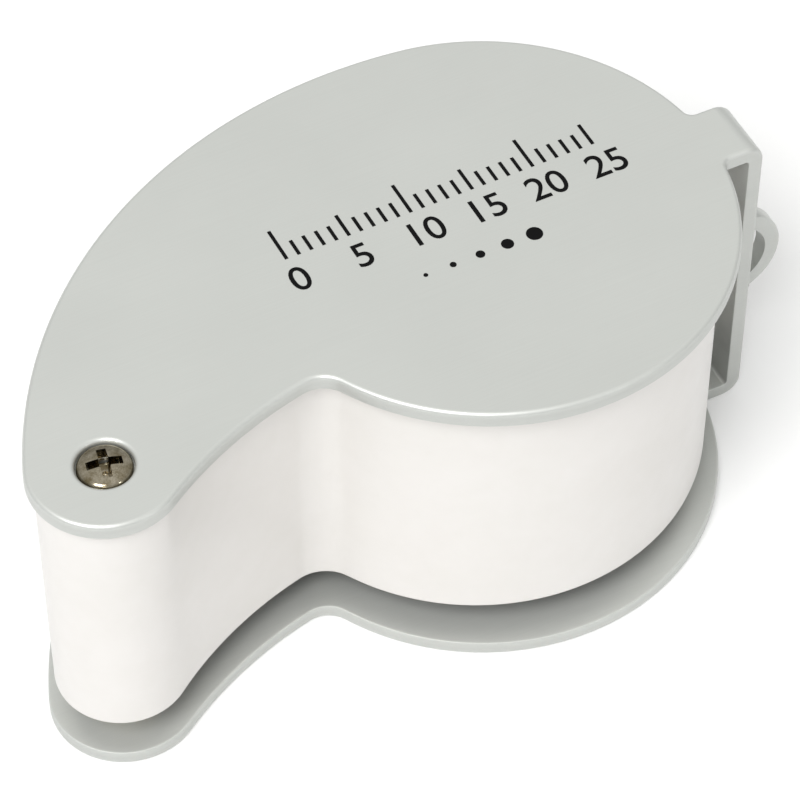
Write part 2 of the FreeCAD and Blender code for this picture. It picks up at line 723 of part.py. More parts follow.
def object_side_cover():
    """The cover on the object side, with openings for the lens, the lamps, the door and the pivot."""
    body = new_body("object_side_cover")
    sketch = new_sketch(body, "cover_outline", height="dims.housing_low + dims.face_sink")
    comma(sketch, "housing", inset=("wall", "fit_gap"))
    circle(sketch, sized("bore"))
    pivot_circle(sketch, sized("bush_outer"))
    for angle in LAMP_ANGLES:
        x, y = lamp_place(angle)
        circle(sketch, sized("led_radius", 0.1), (x, str(x)), (y, str(y)))
    pillar_circle(sketch, "cover", sized("small_thread", 0.1))
    doc.recompute()
    pad(body, sketch, "dims.face")
    doc.recompute()
    door = new_sketch(body, "door_opening", height="dims.housing_low + dims.face_sink")
    well_circle(door, sized("well_bore", 0.3))
    doc.recompute()
    pocket(body, door, "dims.face", reverse=True)
    doc.recompute()
    ear = new_sketch(body, "door_ear_seat", height="dims.housing_low + dims.face_sink")
    polygon(ear, ear_points(0.2))
    doc.recompute()
    pocket(body, ear, "dims.face", reverse=True)
    doc.recompute()
    boss = new_sketch(body, "low_boss", height="dims.housing_low + dims.face_sink")
    pivot_circle(boss, sized("boss_radius", -0.05))
    pivot_circle(boss, sized("bush_outer"))
    doc.recompute()
    pad(body, boss, "dims.boss_tall + dims.face")
    doc.recompute()
    return keep(body, "object_side_cover", swung())


def lamp_place(angle):
    turn = math.radians(angle)
    return size("led_ring") * math.cos(turn), size("led_ring") * math.sin(turn)


def ear_points(allowance):
    """Corners of the battery door's screw ear, wider by the allowance."""
    start = Vector(size("cell_x"), size("cell_y"), 0)
    end = Vector(*PILLARS["door"], 0)
    out = (end - start).normalize()
    side = Vector(-out.y, out.x, 0)
    half = size("ear_half") + allowance
    corners = [start + out * 4 - side * half, end + out * half - side * half,
               end + out * half + side * half, start + out * 4 + side * half]
    return [(corner.x, corner.y) for corner in corners]


def battery_door():
    """The battery door: a round lid with an ear that a screw holds."""
    body = new_body("battery_door")
    low = "dims.housing_low + dims.face_sink"
    lid = new_sketch(body, "lid", height=low)
    well_circle(lid, sized("well_bore", 0.15))
    doc.recompute()
    pad(body, lid, "dims.lid_tall")
    doc.recompute()
    ear = new_sketch(body, "ear", height=low)
    polygon(ear, ear_points(0.05))
    doc.recompute()
    pad(body, ear, "dims.lid_tall")
    doc.recompute()
    hole = new_sketch(body, "ear_hole", height=low)
    pillar_circle(hole, "door", sized("small_thread", 0.1))
    doc.recompute()
    pocket(body, hole, "2", reverse=True)
    doc.recompute()
    keep(body, "battery_door", swung())


def lenses():
    """Two biconvex lenses and their threaded retaining rings."""
    for name, lens_low, ring_low in (("eye", "dims.eye_lens_low", "dims.eye_ring_low"),
                                     ("field", "dims.field_lens_low", "dims.field_ring_low")):
        edge = cylinder(f"{name}_edge", "dims.lens_edge", "dims.lens_thick + 2", f"{lens_low} - 1")
        upper = sphere(f"{name}_upper", "dims.lens_curve", "0", "0",
                       f"{lens_low} + dims.lens_thick - dims.lens_curve")
        lower = sphere(f"{name}_lower", "dims.lens_curve", "0", "0", f"{lens_low} + dims.lens_curve")
        keep(common(f"{name}_lens", edge, upper, lower), f"{name}_lens", swung())
        ring = cylinder(f"{name}_ring_blank", "dims.lens_edge", "dims.ring_tall", ring_low)
        hole = cylinder(f"{name}_ring_hole", "dims.ring_bore", "dims.ring_tall + 2", f"{ring_low} - 1")
        outward = f"{ring_low} + dims.ring_tall - 0.7" if name == "eye" else f"{ring_low} - 0.3"
        slot = block(f"{name}_slot", "2 * dims.lens_edge + 2", "dims.spanner_slot", "1",
                     "-dims.lens_edge - 1", "-dims.spanner_slot / 2", outward)
        keep(cut(f"{name}_ring", ring, hole, slot), f"{name}_retaining_ring", swung())


def bushes():
    """The two plain bushes that the lens body turns on."""
    x = "-dims.pivot_spacing"
    high = "dims.housing_low + dims.housing_tall - dims.bush_tall"
    for name, low in (("upper", high), ("lower", "dims.housing_low")):
        blank = cylinder(f"{name}_bush_blank", "dims.bush_outer", "dims.bush_tall", low, x=x)
        hole = cylinder(f"{name}_bush_hole", "dims.bush_bore", "dims.bush_tall + 2", f"{low} - 1", x=x)
        keep(cut(f"{name}_bush", blank, hole), f"{name}_pivot_bush", swung())


def lamp(number, x, y):
    """One lamp: dome, straight stem and flange."""
    stem_low = "dims.led_low + dims.led_radius"
    dome = sphere(f"lamp{number}_dome", "dims.led_radius", x, y, stem_low)
    stem = cylinder(f"lamp{number}_stem", "dims.led_radius", "dims.led_stem", stem_low, x, y)
    flange_low = f"{stem_low} + dims.led_stem"
    flange = cylinder(f"lamp{number}_flange", "dims.led_flange", "dims.led_flange_tall", flange_low, x, y)
    return fuse(f"lamp{number}", dome, stem, flange)


def lighting():
    """Two lamps on a curved board, their leads, three button cells and the contacts."""
    lamps, leads = [], []
    apart = size("lead_apart")
    lead_low = "dims.led_low + dims.led_radius + dims.led_stem + dims.led_flange_tall + 0.01"
    for number, angle in enumerate(LAMP_ANGLES):
        x, y = lamp_place(angle)
        lamps.append(lamp(number, str(x), str(y)))
        turn = math.radians(angle)
        for sign in (-1, 1):
            lead_x = str(x - sign * apart * math.sin(turn))
            lead_y = str(y + sign * apart * math.cos(turn))
            name = f"lead{number}_{sign + 1}"
            leads.append(cylinder(name, "dims.lead_radius", "dims.lead_long", lead_low, lead_x, lead_y))
    keep(fuse("lamps", *lamps), "led_lamps", swung())
    keep(fuse("leads", *leads), "led_leads", swung())
    lamp_board(leads)
    cells = []
    for number in range(3):
        low = f"dims.cell_low + {number} * (dims.cell_tall + {RUN_GAP})"
        cells.append(cylinder(f"cell{number}", "dims.cell_radius", "dims.cell_tall", low,
                              "dims.cell_x", "dims.cell_y"))
    keep(fuse("cells", *cells), "button_cells", swung())
    contacts()


def lamp_board(leads):
    """The lamp board: a piece of a ring round the barrel, with a hole for each lead."""
    outer = cylinder("board_outer", "dims.led_ring + 0.85", "dims.board", "dims.board_low")
    outer.Angle = 72
    outer.Placement = Placement(outer.Placement.Base, Rotation(Vector(0, 0, 1), 116))
    bore = cylinder("board_bore", "dims.barrel + 0.2", "dims.board + 2", "dims.board_low - 1")
    doc.recompute()
    drills = []
    for lead in leads:
        place = lead.Placement.Base
        drills.append(cylinder(f"{lead.Name}_drill", "dims.lead_radius + 0.03", "dims.board + 2",
                               "dims.board_low - 1", str(place.x), str(place.y)))
    keep(cut("lamp_board", outer, bore, *drills), "lamp_board", swung())


def contacts():
    """The two spring contacts: a dished disc with a tongue that leaves the battery well."""
    skin, half = size("contact_sheet"), 1.1
    upper_low = size("well_roof") - 0.1 - skin
    lower_low = size("housing_low") + size("face_sink") + size("face") + RUN_GAP
    middle = Vector(size("cell_x"), size("cell_y"), 0)
    for name, angle, low, tongue, dish_low in (
        ("upper", 60.0, upper_low, 8.0, upper_low - 0.25),
        ("lower", -12.0, lower_low, 7.3, lower_low + skin),
    ):
        turn = math.radians(angle)
        out = Vector(math.cos(turn), math.sin(turn), 0)
        side = Vector(-out.y, out.x, 0)
        place = Vector(middle.x, middle.y, low)
        corners = [place - side * half, place + out * tongue - side * half,
                   place + out * tongue + side * half, place + side * half]
        strip = Part.Face(Part.makePolygon(corners + corners[:1])).extrude(Vector(0, 0, skin))
        disc = Part.makeCylinder(size("contact_disc"), skin, place)
        dish = Part.makeCylinder(size("contact_dish"), max(0.25, skin), Vector(middle.x, middle.y, dish_low))
        contact = doc.addObject("Part::Feature", f"{name}_contact")
        contact.Shape = disc.fuse([strip, dish]).removeSplitter()
        keep(contact, f"battery_contact_{name}", swung())


def switch():
    """The slide switch: a steel case on its own small board, and the knob that slides in it."""
    x, y, z = "dims.switch_x", "dims.switch_y", "dims.switch_z"
    case = centred_block("case_blank", "dims.case_wide", "dims.case_deep", "dims.case_tall", x, y, z)
    inside = [f"dims.case_{side} - 2 * dims.case_skin" for side in ("wide", "deep", "tall")]
    room = centred_block("case_room", *inside, x, y, z)
    window = centred_block("case_window", "dims.knob_wide + dims.knob_travel + 0.3", "2",
                           "dims.knob_tall + 0.2", x, f"{y} + 2", z)
    keep(cut("switch_case", case, room, window), "switch_case", swung())
    board_y = f"{y} - dims.case_deep / 2 - dims.board / 2 - 0.02"
    board = centred_block("switch_board_blank", "dims.case_wide", "dims.board",
                          "dims.switch_board_tall", x, board_y, z)
    notches = [centred_block(f"board_notch{number}", "1", "2", "0.6", f"{x} + {shift}", board_y,
                             f"{z} + dims.switch_board_tall / 2 - 0.1")
               for number, shift in enumerate((-1.5, 1.5))]
    keep(cut("switch_board", board, *notches), "switch_board", swung())
    # At rest the knob stands at the end of its travel nearer the pivot, which is off.
    knob_x = f"{x} - dims.knob_travel / 2"
    root = f"{y} - 0.9"
    knob = centred_block("knob_blank", "dims.knob_wide", f"dims.knob_reach - ({root})", "dims.knob_tall",
                         knob_x, f"(dims.knob_reach + {root}) / 2", z)
    grooves = [centred_block(f"knob_groove{number}", "0.3", "0.7", "4", f"{knob_x} + {shift}",
                             "dims.knob_reach", z)
               for number, shift in enumerate((-0.6, 0, 0.6))]
    keep(cut("switch_knob", knob, *grooves), "switch_knob", swung())


def centred_block(name, wide, deep, tall, x, y, z):
    """A Part box round its middle, with expressions."""
    return block(name, wide, deep, tall, f"{x} - ({wide}) / 2", f"{y} - ({deep}) / 2", f"{z} - ({tall}) / 2")


def small_screws():
    """The two small screws: one holds the object side cover, the other the battery door."""
    head_low = "dims.housing_low + dims.face_sink - dims.small_head_tall"
    for pillar, label in (("cover", "object_cover_screw"), ("door", "battery_door_screw")):
        x, y = (str(value) for value in PILLARS[pillar])
        head = cylinder(f"{pillar}_head", "dims.small_head", "dims.small_head_tall", head_low, x, y)
        shank = cylinder(f"{pillar}_shank", "dims.small_thread", "dims.small_long",
                         f"{head_low} + dims.small_head_tall - 0.1", x, y)
        blank = fuse(f"{pillar}_screw_blank", head, shank)
        slot = centred_block(f"{pillar}_driver_slot", "2 * dims.small_head + 0.2", "dims.driver_slot",
                             "2 * dims.driver_slot", x, y, head_low)
        keep(cut(f"{pillar}_screw", blank, slot), label, swung())


def rounded_route(points):
    """Straight runs through the points, joined by tangent arcs."""
    edges, start = [], points[0]
    for before, corner, after in zip(points, points[1:], points[2:]):
        back, ahead = before - corner, after - corner
        turn = math.pi - back.getAngle(ahead)
        trim = 0.45 * min(back.Length, ahead.Length)
        radius = trim / math.tan(turn / 2)
        back.normalize()
        ahead.normalize()
        enter, leave = corner + back * trim, corner + ahead * trim
        inward = (back + ahead).normalize()
        centre = corner + inward * math.hypot(radius, trim)
        edges += [Part.LineSegment(start, enter).toShape(),
                  Part.Arc(enter, centre - inward * radius, leave).toShape()]
        start = leave
    edges.append(Part.LineSegment(start, points[-1]).toShape())
    return Part.Wire(edges)


def wires():
    """Three wires: upper contact to switch, switch to lamp board, lower contact to lamp board."""
    upper = size("well_roof") - 0.1
    lower = size("housing_low") + size("face_sink") + size("face") + RUN_GAP + size("contact_sheet")
    lamp_low, lamp_top = size("board_low"), size("board_low") + size("board")
    edge = size("switch_x") - size("case_wide") / 2
    back = size("switch_y") - size("case_deep") / 2 - 0.02
    foot = size("switch_z") - size("switch_board_tall") / 2
    joint = size("switch_z") + 2.4
    routes = {
        "wire_red": [Vector(-18.9, 12.8, upper), Vector(-18.9, 12.8, upper + 1.4),
                     Vector(-17.6, 15.0, upper + 2.2), Vector(edge - 2.1, 15.9, upper + 2.1),
                     Vector(edge + 0.6, back + 1.3, joint), Vector(edge + 0.6, back, joint)],
        "wire_black": [Vector(-15.8, 4.72, lower), Vector(-15.8, 4.72, lower + 1.0),
                       Vector(-15.2, 5.3, lower + 2.1), Vector(-15.2, 5.3, lamp_low)],
        "wire_blue": [Vector(-11.5, back - 0.36, foot), Vector(-11.5, back - 0.36, foot - 0.9),
                      Vector(-11.2, 11.7, lamp_top + 0.9), Vector(-11.2, 11.7, lamp_top)],
    }
    for name, route in routes.items():
        path = rounded_route(route)
        first = route[1] - route[0]
        section = Part.Wire(Part.makeCircle(size("wire_radius"), route[0], first))
        tube = path.makePipeShell([section], True, True)
        wire = doc.addObject("Part::Feature", name)
        wire.Shape = tube
        keep(wire, name, swung())
        expected = math.pi * size("wire_radius") ** 2 * path.Length
        share = tube.Volume / expected
        print(f"{name}: {path.Length:.1f} mm long, volume {share:.3f} of section times length")


def check_and_write():
    """Stops at the first object that failed, then writes each sub-part to parts/."""
    doc.recompute()
    failed = [item.Name for item in doc.Objects
              if any(state in item.State for state in ("Invalid", "Error"))]
    if failed:
        raise RuntimeError(f"objects failed: {failed}")
    os.makedirs("parts", exist_ok=True)
    for part in parts:
        shape = part.Shape
        if shape.isNull() or not shape.isValid() or not shape.Solids:
            raise RuntimeError(f"{part.Label} has no valid solid")
        shape.exportStep(os.path.join("parts", part.Label + ".step"))
        box = shape.BoundBox
        print(f"{part.Label}: {len(shape.Solids)} solid, {shape.Volume:.1f} mm3, "
              f"z {box.ZMin:.2f} to {box.ZMax:.2f}")


folded_cover()
screws_and_post()
housing_band()
inner_frame()
object_side_cover()
battery_door()
lenses()
bushes()
lighting()
switch()
small_screws()
wires()
check_and_write()
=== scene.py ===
import json
import logging
import math
from dataclasses import dataclass, field
from enum import Enum
from functools import partial
from typing import Callable, Optional, Sequence, Union

import bmesh
import bpy
from mathutils import Matrix, Vector


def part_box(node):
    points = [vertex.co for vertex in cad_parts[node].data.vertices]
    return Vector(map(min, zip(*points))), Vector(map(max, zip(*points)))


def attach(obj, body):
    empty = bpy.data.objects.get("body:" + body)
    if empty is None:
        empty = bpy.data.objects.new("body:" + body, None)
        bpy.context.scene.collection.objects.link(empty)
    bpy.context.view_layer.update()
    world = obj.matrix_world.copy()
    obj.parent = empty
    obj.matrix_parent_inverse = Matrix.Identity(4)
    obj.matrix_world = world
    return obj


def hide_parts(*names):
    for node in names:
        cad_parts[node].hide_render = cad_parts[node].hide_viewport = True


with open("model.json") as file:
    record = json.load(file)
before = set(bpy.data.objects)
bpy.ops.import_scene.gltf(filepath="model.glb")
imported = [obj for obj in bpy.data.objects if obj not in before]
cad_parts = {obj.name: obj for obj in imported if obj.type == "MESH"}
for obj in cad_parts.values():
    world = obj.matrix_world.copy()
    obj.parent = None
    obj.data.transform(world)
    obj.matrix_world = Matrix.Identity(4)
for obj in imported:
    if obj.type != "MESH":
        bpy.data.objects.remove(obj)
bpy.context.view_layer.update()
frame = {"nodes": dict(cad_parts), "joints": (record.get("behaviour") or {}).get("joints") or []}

log = logging.getLogger("loupe")
MM = 0.001
UP = Vector((0.0, 0.0, 1.0))
# In a lathe section, X is the radius and Z the height: this axis turns counter-clockwise in it.
SECTION_AXIS = Vector((0.0, -1.0, 0.0))
STEP_MM = 0.45
STEP_DEG = 5.0
TURNED_STEPS = 96
RIM = "rim"
# A hairline is this many times as long as it is wide.
HAIR_LONG = 90.0
# Blender's noise mostly stays between these values.
NOISE_SPAN = (0.32, 0.68)
# How much of a finish's wandering follows its fine marks. The rest follows its patches.
MARK_SHARE = 0.35
# Faces that meet at more than this angle, in degrees, keep a sharp edge between them.
SHARP_DEG = 34.0

# Cutting tools reach this far past what they cut.
PAST = 1.0
# Closer corners than these are one.
WELD = 1e-4
SKIN_WELD = 0.01
NEAR = 1e-3

Mesh = bmesh.types.BMesh
Tree = bpy.types.NodeTree
Socket = bpy.types.NodeSocket
Thing = bpy.types.Object
Point = Sequence[float]


class Body(Enum):
    """The bodies that pieces ride on."""

    COVER = "cover"
    LENS = "lens_body"
    KNOB = "switch_knob"


class Pattern(Enum):
    """How a surface was made, which decides the run of its fine marks."""

    HAIRLINE = "hairline"
    TURNED = "turned"
    GRAIN = "grain"


class Rim(Enum):
    """The edges of a wall's rim, which are rounded differently."""

    OUTER = 1
    INNER = 2
    BRIDGE = 3
    SHARP = 4


class Join(Enum):
    """What a boolean does with its tools."""

    CUT = "DIFFERENCE"
    ADD = "UNION"


def joint(name: str) -> dict:
    """The record of one joint."""
    return next(item for item in frame["joints"] if item["name"] == name)


PIVOT = Vector(joint("lens_body_swing")["pos_m"]) / MM
SLIDE = Vector(joint("switch_slide")["axis"])
# The lens body stands a little open at rest, by the angle that its switch's slide has to X.
SWING = (
    Matrix.Translation(PIVOT)
    @ Matrix.Rotation(math.atan2(SLIDE.y, SLIDE.x), 4, "Z")
    @ Matrix.Translation(-PIVOT)
)


def level(node: str) -> tuple[float, float]:
    """The lowest and highest point of a CAD node, in millimetres."""
    low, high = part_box(node)
    return low.z / MM, high.z / MM


PLATE_TOP = level("folded_cover")[1]
# The recess that the upper screw's head sits in.
RECESS_DEEP = 0.7
# How high the lower screw's countersunk head reaches.
COUNTERSUNK = 0.95
# The brass and nylon rings turn freely on the post.
FREE_BORE = 1.62
# The lamps' places round the lens, in degrees, and their distance from its axis.
LAMP_ANGLES = (183.0, 128.0)
LAMP_RING = 16.1


def middle(node: str) -> Vector:
    """The middle of a CAD node's box, turned back with the lens body, in millimetres."""
    low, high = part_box(node)
    return SWING.inverted() @ ((low + high) / 2 / MM)


def around(angle: float, reach: float, centre: Point = (0.0, 0.0)) -> Vector:
    """The point at an angle in degrees and a distance from a centre."""
    turn = math.radians(angle)
    return Vector((centre[0] + reach * math.cos(turn), centre[1] + reach * math.sin(turn)))


# ---------------------------------------------------------------- drawing and shaping


def spun(
    mesh: Mesh,
    geom: list,
    centre: Point,
    axis: Point,
    angle: float,
    steps: int,
    merge: bool = False,
) -> list:
    """Sweeps geometry about an axis.

    Args:
        mesh: The mesh that holds it.
        geom: What is swept.
        centre: A point on the axis.
        axis: The axis.
        angle: The sweep in radians, counter-clockwise where positive.
        steps: How many facets it makes.
        merge: Whether the last step joins the first.

    Returns:
        The far end of the sweep.
    """
    return bmesh.ops.spin(
        mesh, geom=geom, cent=centre, axis=axis, dvec=(0, 0, 0), angle=angle, steps=steps,
        use_merge=merge, use_normal_flip=False, use_duplicate=False,
    )["geom_last"]


class Pen:
    """Draws one chain of edges in a mesh."""

    def __init__(self, mesh: Mesh, start: Vector, axis: Vector = UP) -> None:
        """Starts the chain.

        Args:
            mesh: The mesh to draw in.
            start: The first point.
            axis: The axis that arcs turn about, counter-clockwise for a positive sweep.
        """
        self.mesh = mesh
        self.axis = axis
        self.first = bmesh.ops.create_vert(mesh, co=start)["vert"][0]
        self.tip = self.first

    def line(self, end: Vector) -> None:
        """Draws a straight edge to a point."""
        self.tip = bmesh.ops.extrude_vert_indiv(self.mesh, verts=[self.tip])["verts"][0]
        self.tip.co = end

    def arc(self, centre: Vector, sweep: float) -> None:
        """Draws an arc from the tip.

        Args:
            centre: The arc's centre.
            sweep: Its angle in degrees, counter-clockwise where positive.
        """
        length = math.radians(abs(sweep)) * (self.tip.co - centre).length
        steps = max(math.ceil(length / STEP_MM), math.ceil(abs(sweep) / STEP_DEG))
        self.tip = spun(self.mesh, [self.tip], centre, self.axis, math.radians(sweep), steps)[0]

    def close(self) -> None:
        """Draws the edge back to the start, or joins the ends where they meet."""
        if (self.tip.co - self.first.co).length < NEAR:
            bmesh.ops.pointmerge(self.mesh, verts=[self.tip, self.first], merge_co=self.first.co)
        else:
            bmesh.ops.contextual_create(self.mesh, geom=[self.tip, self.first])


@dataclass(frozen=True)
class Arc:
    """An arc in a lathe section."""

    radius: float
    height: float
    sweep: float


Move = Union[tuple[float, float], Arc]


def turned(
    start: tuple[float, float],
    *moves: Move,
    at: Point = (0.0, 0.0),
    steps: int = TURNED_STEPS,
) -> Mesh:
    """Turns a section round an upright axis.

    Args:
        start: The section's first point, as radius and height.
        moves: The points and arcs that follow.
        at: Where the axis stands.
        steps: How many facets go round.

    Returns:
        The closed shell.
    """
    mesh = bmesh.new()
    pen = Pen(mesh, Vector((start[0], 0, start[1])), SECTION_AXIS)
    for move in moves:
        if isinstance(move, Arc):
            pen.arc(Vector((move.radius, 0, move.height)), move.sweep)
        else:
            pen.line(Vector((move[0], 0, move[1])))
    spun(mesh, mesh.verts[:] + mesh.edges[:], (0, 0, 0), UP, math.tau, steps, True)
    bmesh.ops.remove_doubles(mesh, verts=mesh.verts, dist=WELD)
    bmesh.ops.recalc_face_normals(mesh, faces=mesh.faces)
    bmesh.ops.translate(mesh, verts=mesh.verts, vec=(at[0], at[1], 0))
    return mesh


def tube(bore: float, outer: float, low: float, high: float, at: Point = (0.0, 0.0)) -> Mesh:
    """An upright ring of square section, as a closed shell."""
    return turned((bore, low), (outer, low), (outer, high), (bore, high), (bore, low), at=at)


def rod(radius: float, low: float, high: float, at: Point = (0.0, 0.0), steps: int = 64) -> Mesh:
    """An upright cylinder, as a closed shell."""
    return turned((0, low), (radius, low), (radius, high), (0, high), at=at, steps=steps)


def block(size: Point, centre: Point, turn: float = 0.0, foot: float = 1.0) -> Mesh:
    """A box, tapered if its foot is wider or narrower.

    Args:
        size: Its three lengths, at the top.
        centre: Its middle.
        turn: Its turn about Z in degrees.
        foot: The scale of its lower end.

    Returns:
        The closed shell.
    """
    mesh = bmesh.new()
    bmesh.ops.create_cube(mesh, size=1.0)
    bmesh.ops.scale(mesh, vec=size, verts=mesh.verts)
    lower = [vert for vert in mesh.verts if vert.co.z < 0]
    bmesh.ops.scale(mesh, vec=(foot, foot, 1), verts=lower)
    turning = Matrix.Rotation(math.radians(turn), 3, "Z")
    bmesh.ops.rotate(mesh, cent=(0, 0, 0), matrix=turning, verts=mesh.verts)
    bmesh.ops.translate(mesh, verts=mesh.verts, vec=centre)
    return mesh


def raised(mesh: Mesh, low: float, high: float) -> Mesh:
    """Fills a closed outline and gives it a height.

    Args:
        mesh: A mesh that holds one closed outline.
        low: The solid's underside.
        high: Its top.

    Returns:
        The same mesh, as a closed shell.
    """
    faces = bmesh.ops.contextual_create(mesh, geom=mesh.edges[:])["faces"]
    bmesh.ops.solidify(mesh, geom=faces, thickness=high - low)
    bmesh.ops.recalc_face_normals(mesh, faces=mesh.faces)
    lowest = min(vert.co.z for vert in mesh.verts)
    bmesh.ops.translate(mesh, verts=mesh.verts, vec=(0, 0, low - lowest))
    return mesh


def softened(mesh: Mesh, width: float, segments: int = 3, corner: float = 35.0) -> Mesh:
    """Rounds every corner edge.

    Args:
        mesh: A closed shell.
        width: How far each rounding reaches.
        segments: Facets across it.
        corner: The least angle between faces that counts as a corner, in degrees.

    Returns:
        The same mesh.
    """
    edges = [e for e in mesh.edges if e.calc_face_angle(0.0) > math.radians(corner)]
    rounded(mesh, edges, width, segments)
    return mesh


def rounded(mesh: Mesh, edges: list[bmesh.types.BMEdge], width: float, segments: int) -> None:
    """Bevels some edges with a round profile."""
    bmesh.ops.bevel(
        mesh, geom=edges, offset=width, offset_type="OFFSET", segments=segments, profile=0.5,
        affect="EDGES", clamp_overlap=True, material=-1,
    )


def extruded(mesh: Mesh, edges: list[bmesh.types.BMEdge], rise: float) -> None:
    """Extrudes edges straight up, or down for a negative rise."""
    made = bmesh.ops.extrude_edge_only(mesh, edges=edges)["geom"]
    verts = [item for item in made if isinstance(item, bmesh.types.BMVert)]
    bmesh.ops.translate(mesh, verts=verts, vec=(0, 0, rise))


def face_outwards(mesh: Mesh, way: Vector) -> None:
    """Points an open skin's normals outwards, going by its farthest face in a direction."""
    bmesh.ops.recalc_face_normals(mesh, faces=mesh.faces)
    farthest = max(mesh.faces, key=lambda face: face.calc_center_median().dot(way))
    if farthest.normal.dot(way) < 0:
        bmesh.ops.reverse_faces(mesh, faces=mesh.faces)


def placed(name: str, data: bpy.types.ID) -> Thing:
    """A new object in the scene that holds some data."""
    thing = bpy.data.objects.new(name, data)
    bpy.context.scene.collection.objects.link(thing)
    return thing


def stand_in(mesh: Mesh) -> Thing:
    """A temporary object that holds a mesh."""
    data = bpy.data.meshes.new("temporary")
    mesh.to_mesh(data)
    return placed("temporary", data)


def evaluated(thing: Thing) -> Mesh:
    """The mesh that an object's modifiers give it. The object is removed."""
    graph = bpy.context.evaluated_depsgraph_get()
    data = bpy.data.meshes.new_from_object(thing.evaluated_get(graph), depsgraph=graph)
    mesh = bmesh.new()
    mesh.from_mesh(data)
    discard(thing)
    bpy.data.meshes.remove(data)
    return mesh


def discard(thing: Thing) -> None:
    """Removes a temporary object and its mesh."""
    data = thing.data
    bpy.data.objects.remove(thing)
    bpy.data.meshes.remove(data)


def joined(base: Mesh, join: Join, *tools: Mesh) -> Mesh:
    """Cuts tools from a shell, or adds them to it.

    Args:
        base: The shell to work on.
        join: Whether the tools cut or add.
        tools: Closed shells.

    Returns:
        A new mesh.
    """
    thing = stand_in(base)
    helpers = []
    for tool in tools:
        helper = stand_in(tool)
        modifier = thing.modifiers.new("boolean", "BOOLEAN")
        modifier.operation = join.value
        modifier.solver = "EXACT"
        modifier.object = helper
        helpers.append(helper)
    mesh = evaluated(thing)
    for helper in helpers:
        discard(helper)
    bmesh.ops.remove_doubles(mesh, verts=mesh.verts, dist=WELD)
    return mesh


def walled(skin: Mesh, thickness: float) -> Mesh:
    """Gives an open skin a wall on its inner side.

    Args:
        skin: A surface whose normals point outwards.
        thickness: The wall's thickness.

    Returns:
        The closed mesh, whose rim edges are marked as outer, along the skin, or inner.
    """
    thing = stand_in(skin)
    modifier = thing.modifiers.new("wall", "SOLIDIFY")
    modifier.thickness = thickness
    modifier.offset = -1.0
    modifier.use_even_offset = True
    # The creases tell the two rims apart afterwards.
    modifier.edge_crease_outer = 1.0
    modifier.edge_crease_inner = 0.5
    mesh = evaluated(thing)
    rims = mesh.edges.layers.int.new(RIM)
    creases = mesh.edges.layers.float.get("crease_edge")
    for edge in mesh.edges:
        if edge[creases] > 0.9:
            edge[rims] = Rim.OUTER.value
        elif edge[creases] > 0.4:
            edge[rims] = Rim.INNER.value
    return mesh


def rim_rounded(mesh: Mesh, rim: Rim, width: float, segments: int) -> None:
    """Rounds the marked edges of one kind."""
    rims = mesh.edges.layers.int.get(RIM)
    rounded(mesh, [e for e in mesh.edges if e[rims] == rim.value], width, segments)


# ---------------------------------------------------------------- finishes


def linear(code: str) -> tuple[float, float, float, float]:
    """A colour written as an sRGB hex code, as linear RGBA."""
    values = [int(code[i : i + 2], 16) / 255 for i in (1, 3, 5)]
    return (*(v / 12.92 if v <= 0.04045 else ((v + 0.055) / 1.055) ** 2.4 for v in values), 1.0)


def add_node(
    tree: Tree,
    kind: str,
    settings: Optional[dict] = None,
    inputs: Optional[dict] = None,
    links: Optional[dict] = None,
) -> bpy.types.Node:
    """Adds a node with its settings, input values and links.

    Args:
        tree: The tree to add it to.
        kind: The node's type.
        settings: Properties of the node.
        inputs: Values of its inputs, by name or number.
        links: Output sockets that feed its inputs, by name or number.

    Returns:
        The node.
    """
    node = tree.nodes.new(kind)
    for name, value in (settings or {}).items():
        setattr(node, name, value)
    for name, value in (inputs or {}).items():
        node.inputs[name].default_value = value
    for name, source in (links or {}).items():
        tree.links.new(source, node.inputs[name])
    return node


def ranged(
    tree: Tree, value: Socket, to: tuple[float, float], source: tuple[float, float] = (0.0, 1.0)
) -> Socket:
    """Maps a value from one range to another."""
    ends = {"From Min": source[0], "From Max": source[1], "To Min": to[0], "To Max": to[1]}
    node = add_node(tree, "ShaderNodeMapRange", inputs=ends, links={"Value": value})
    return node.outputs["Result"]


def blended(tree: Tree, factor: Socket, first: str, second: str) -> Socket:
    """Mixes two colours written as sRGB hex codes."""
    ends = {6: linear(first), 7: linear(second)}
    links = {"Factor": factor}
    return add_node(tree, "ShaderNodeMix", {"data_type": "RGBA"}, ends, links).outputs[2]


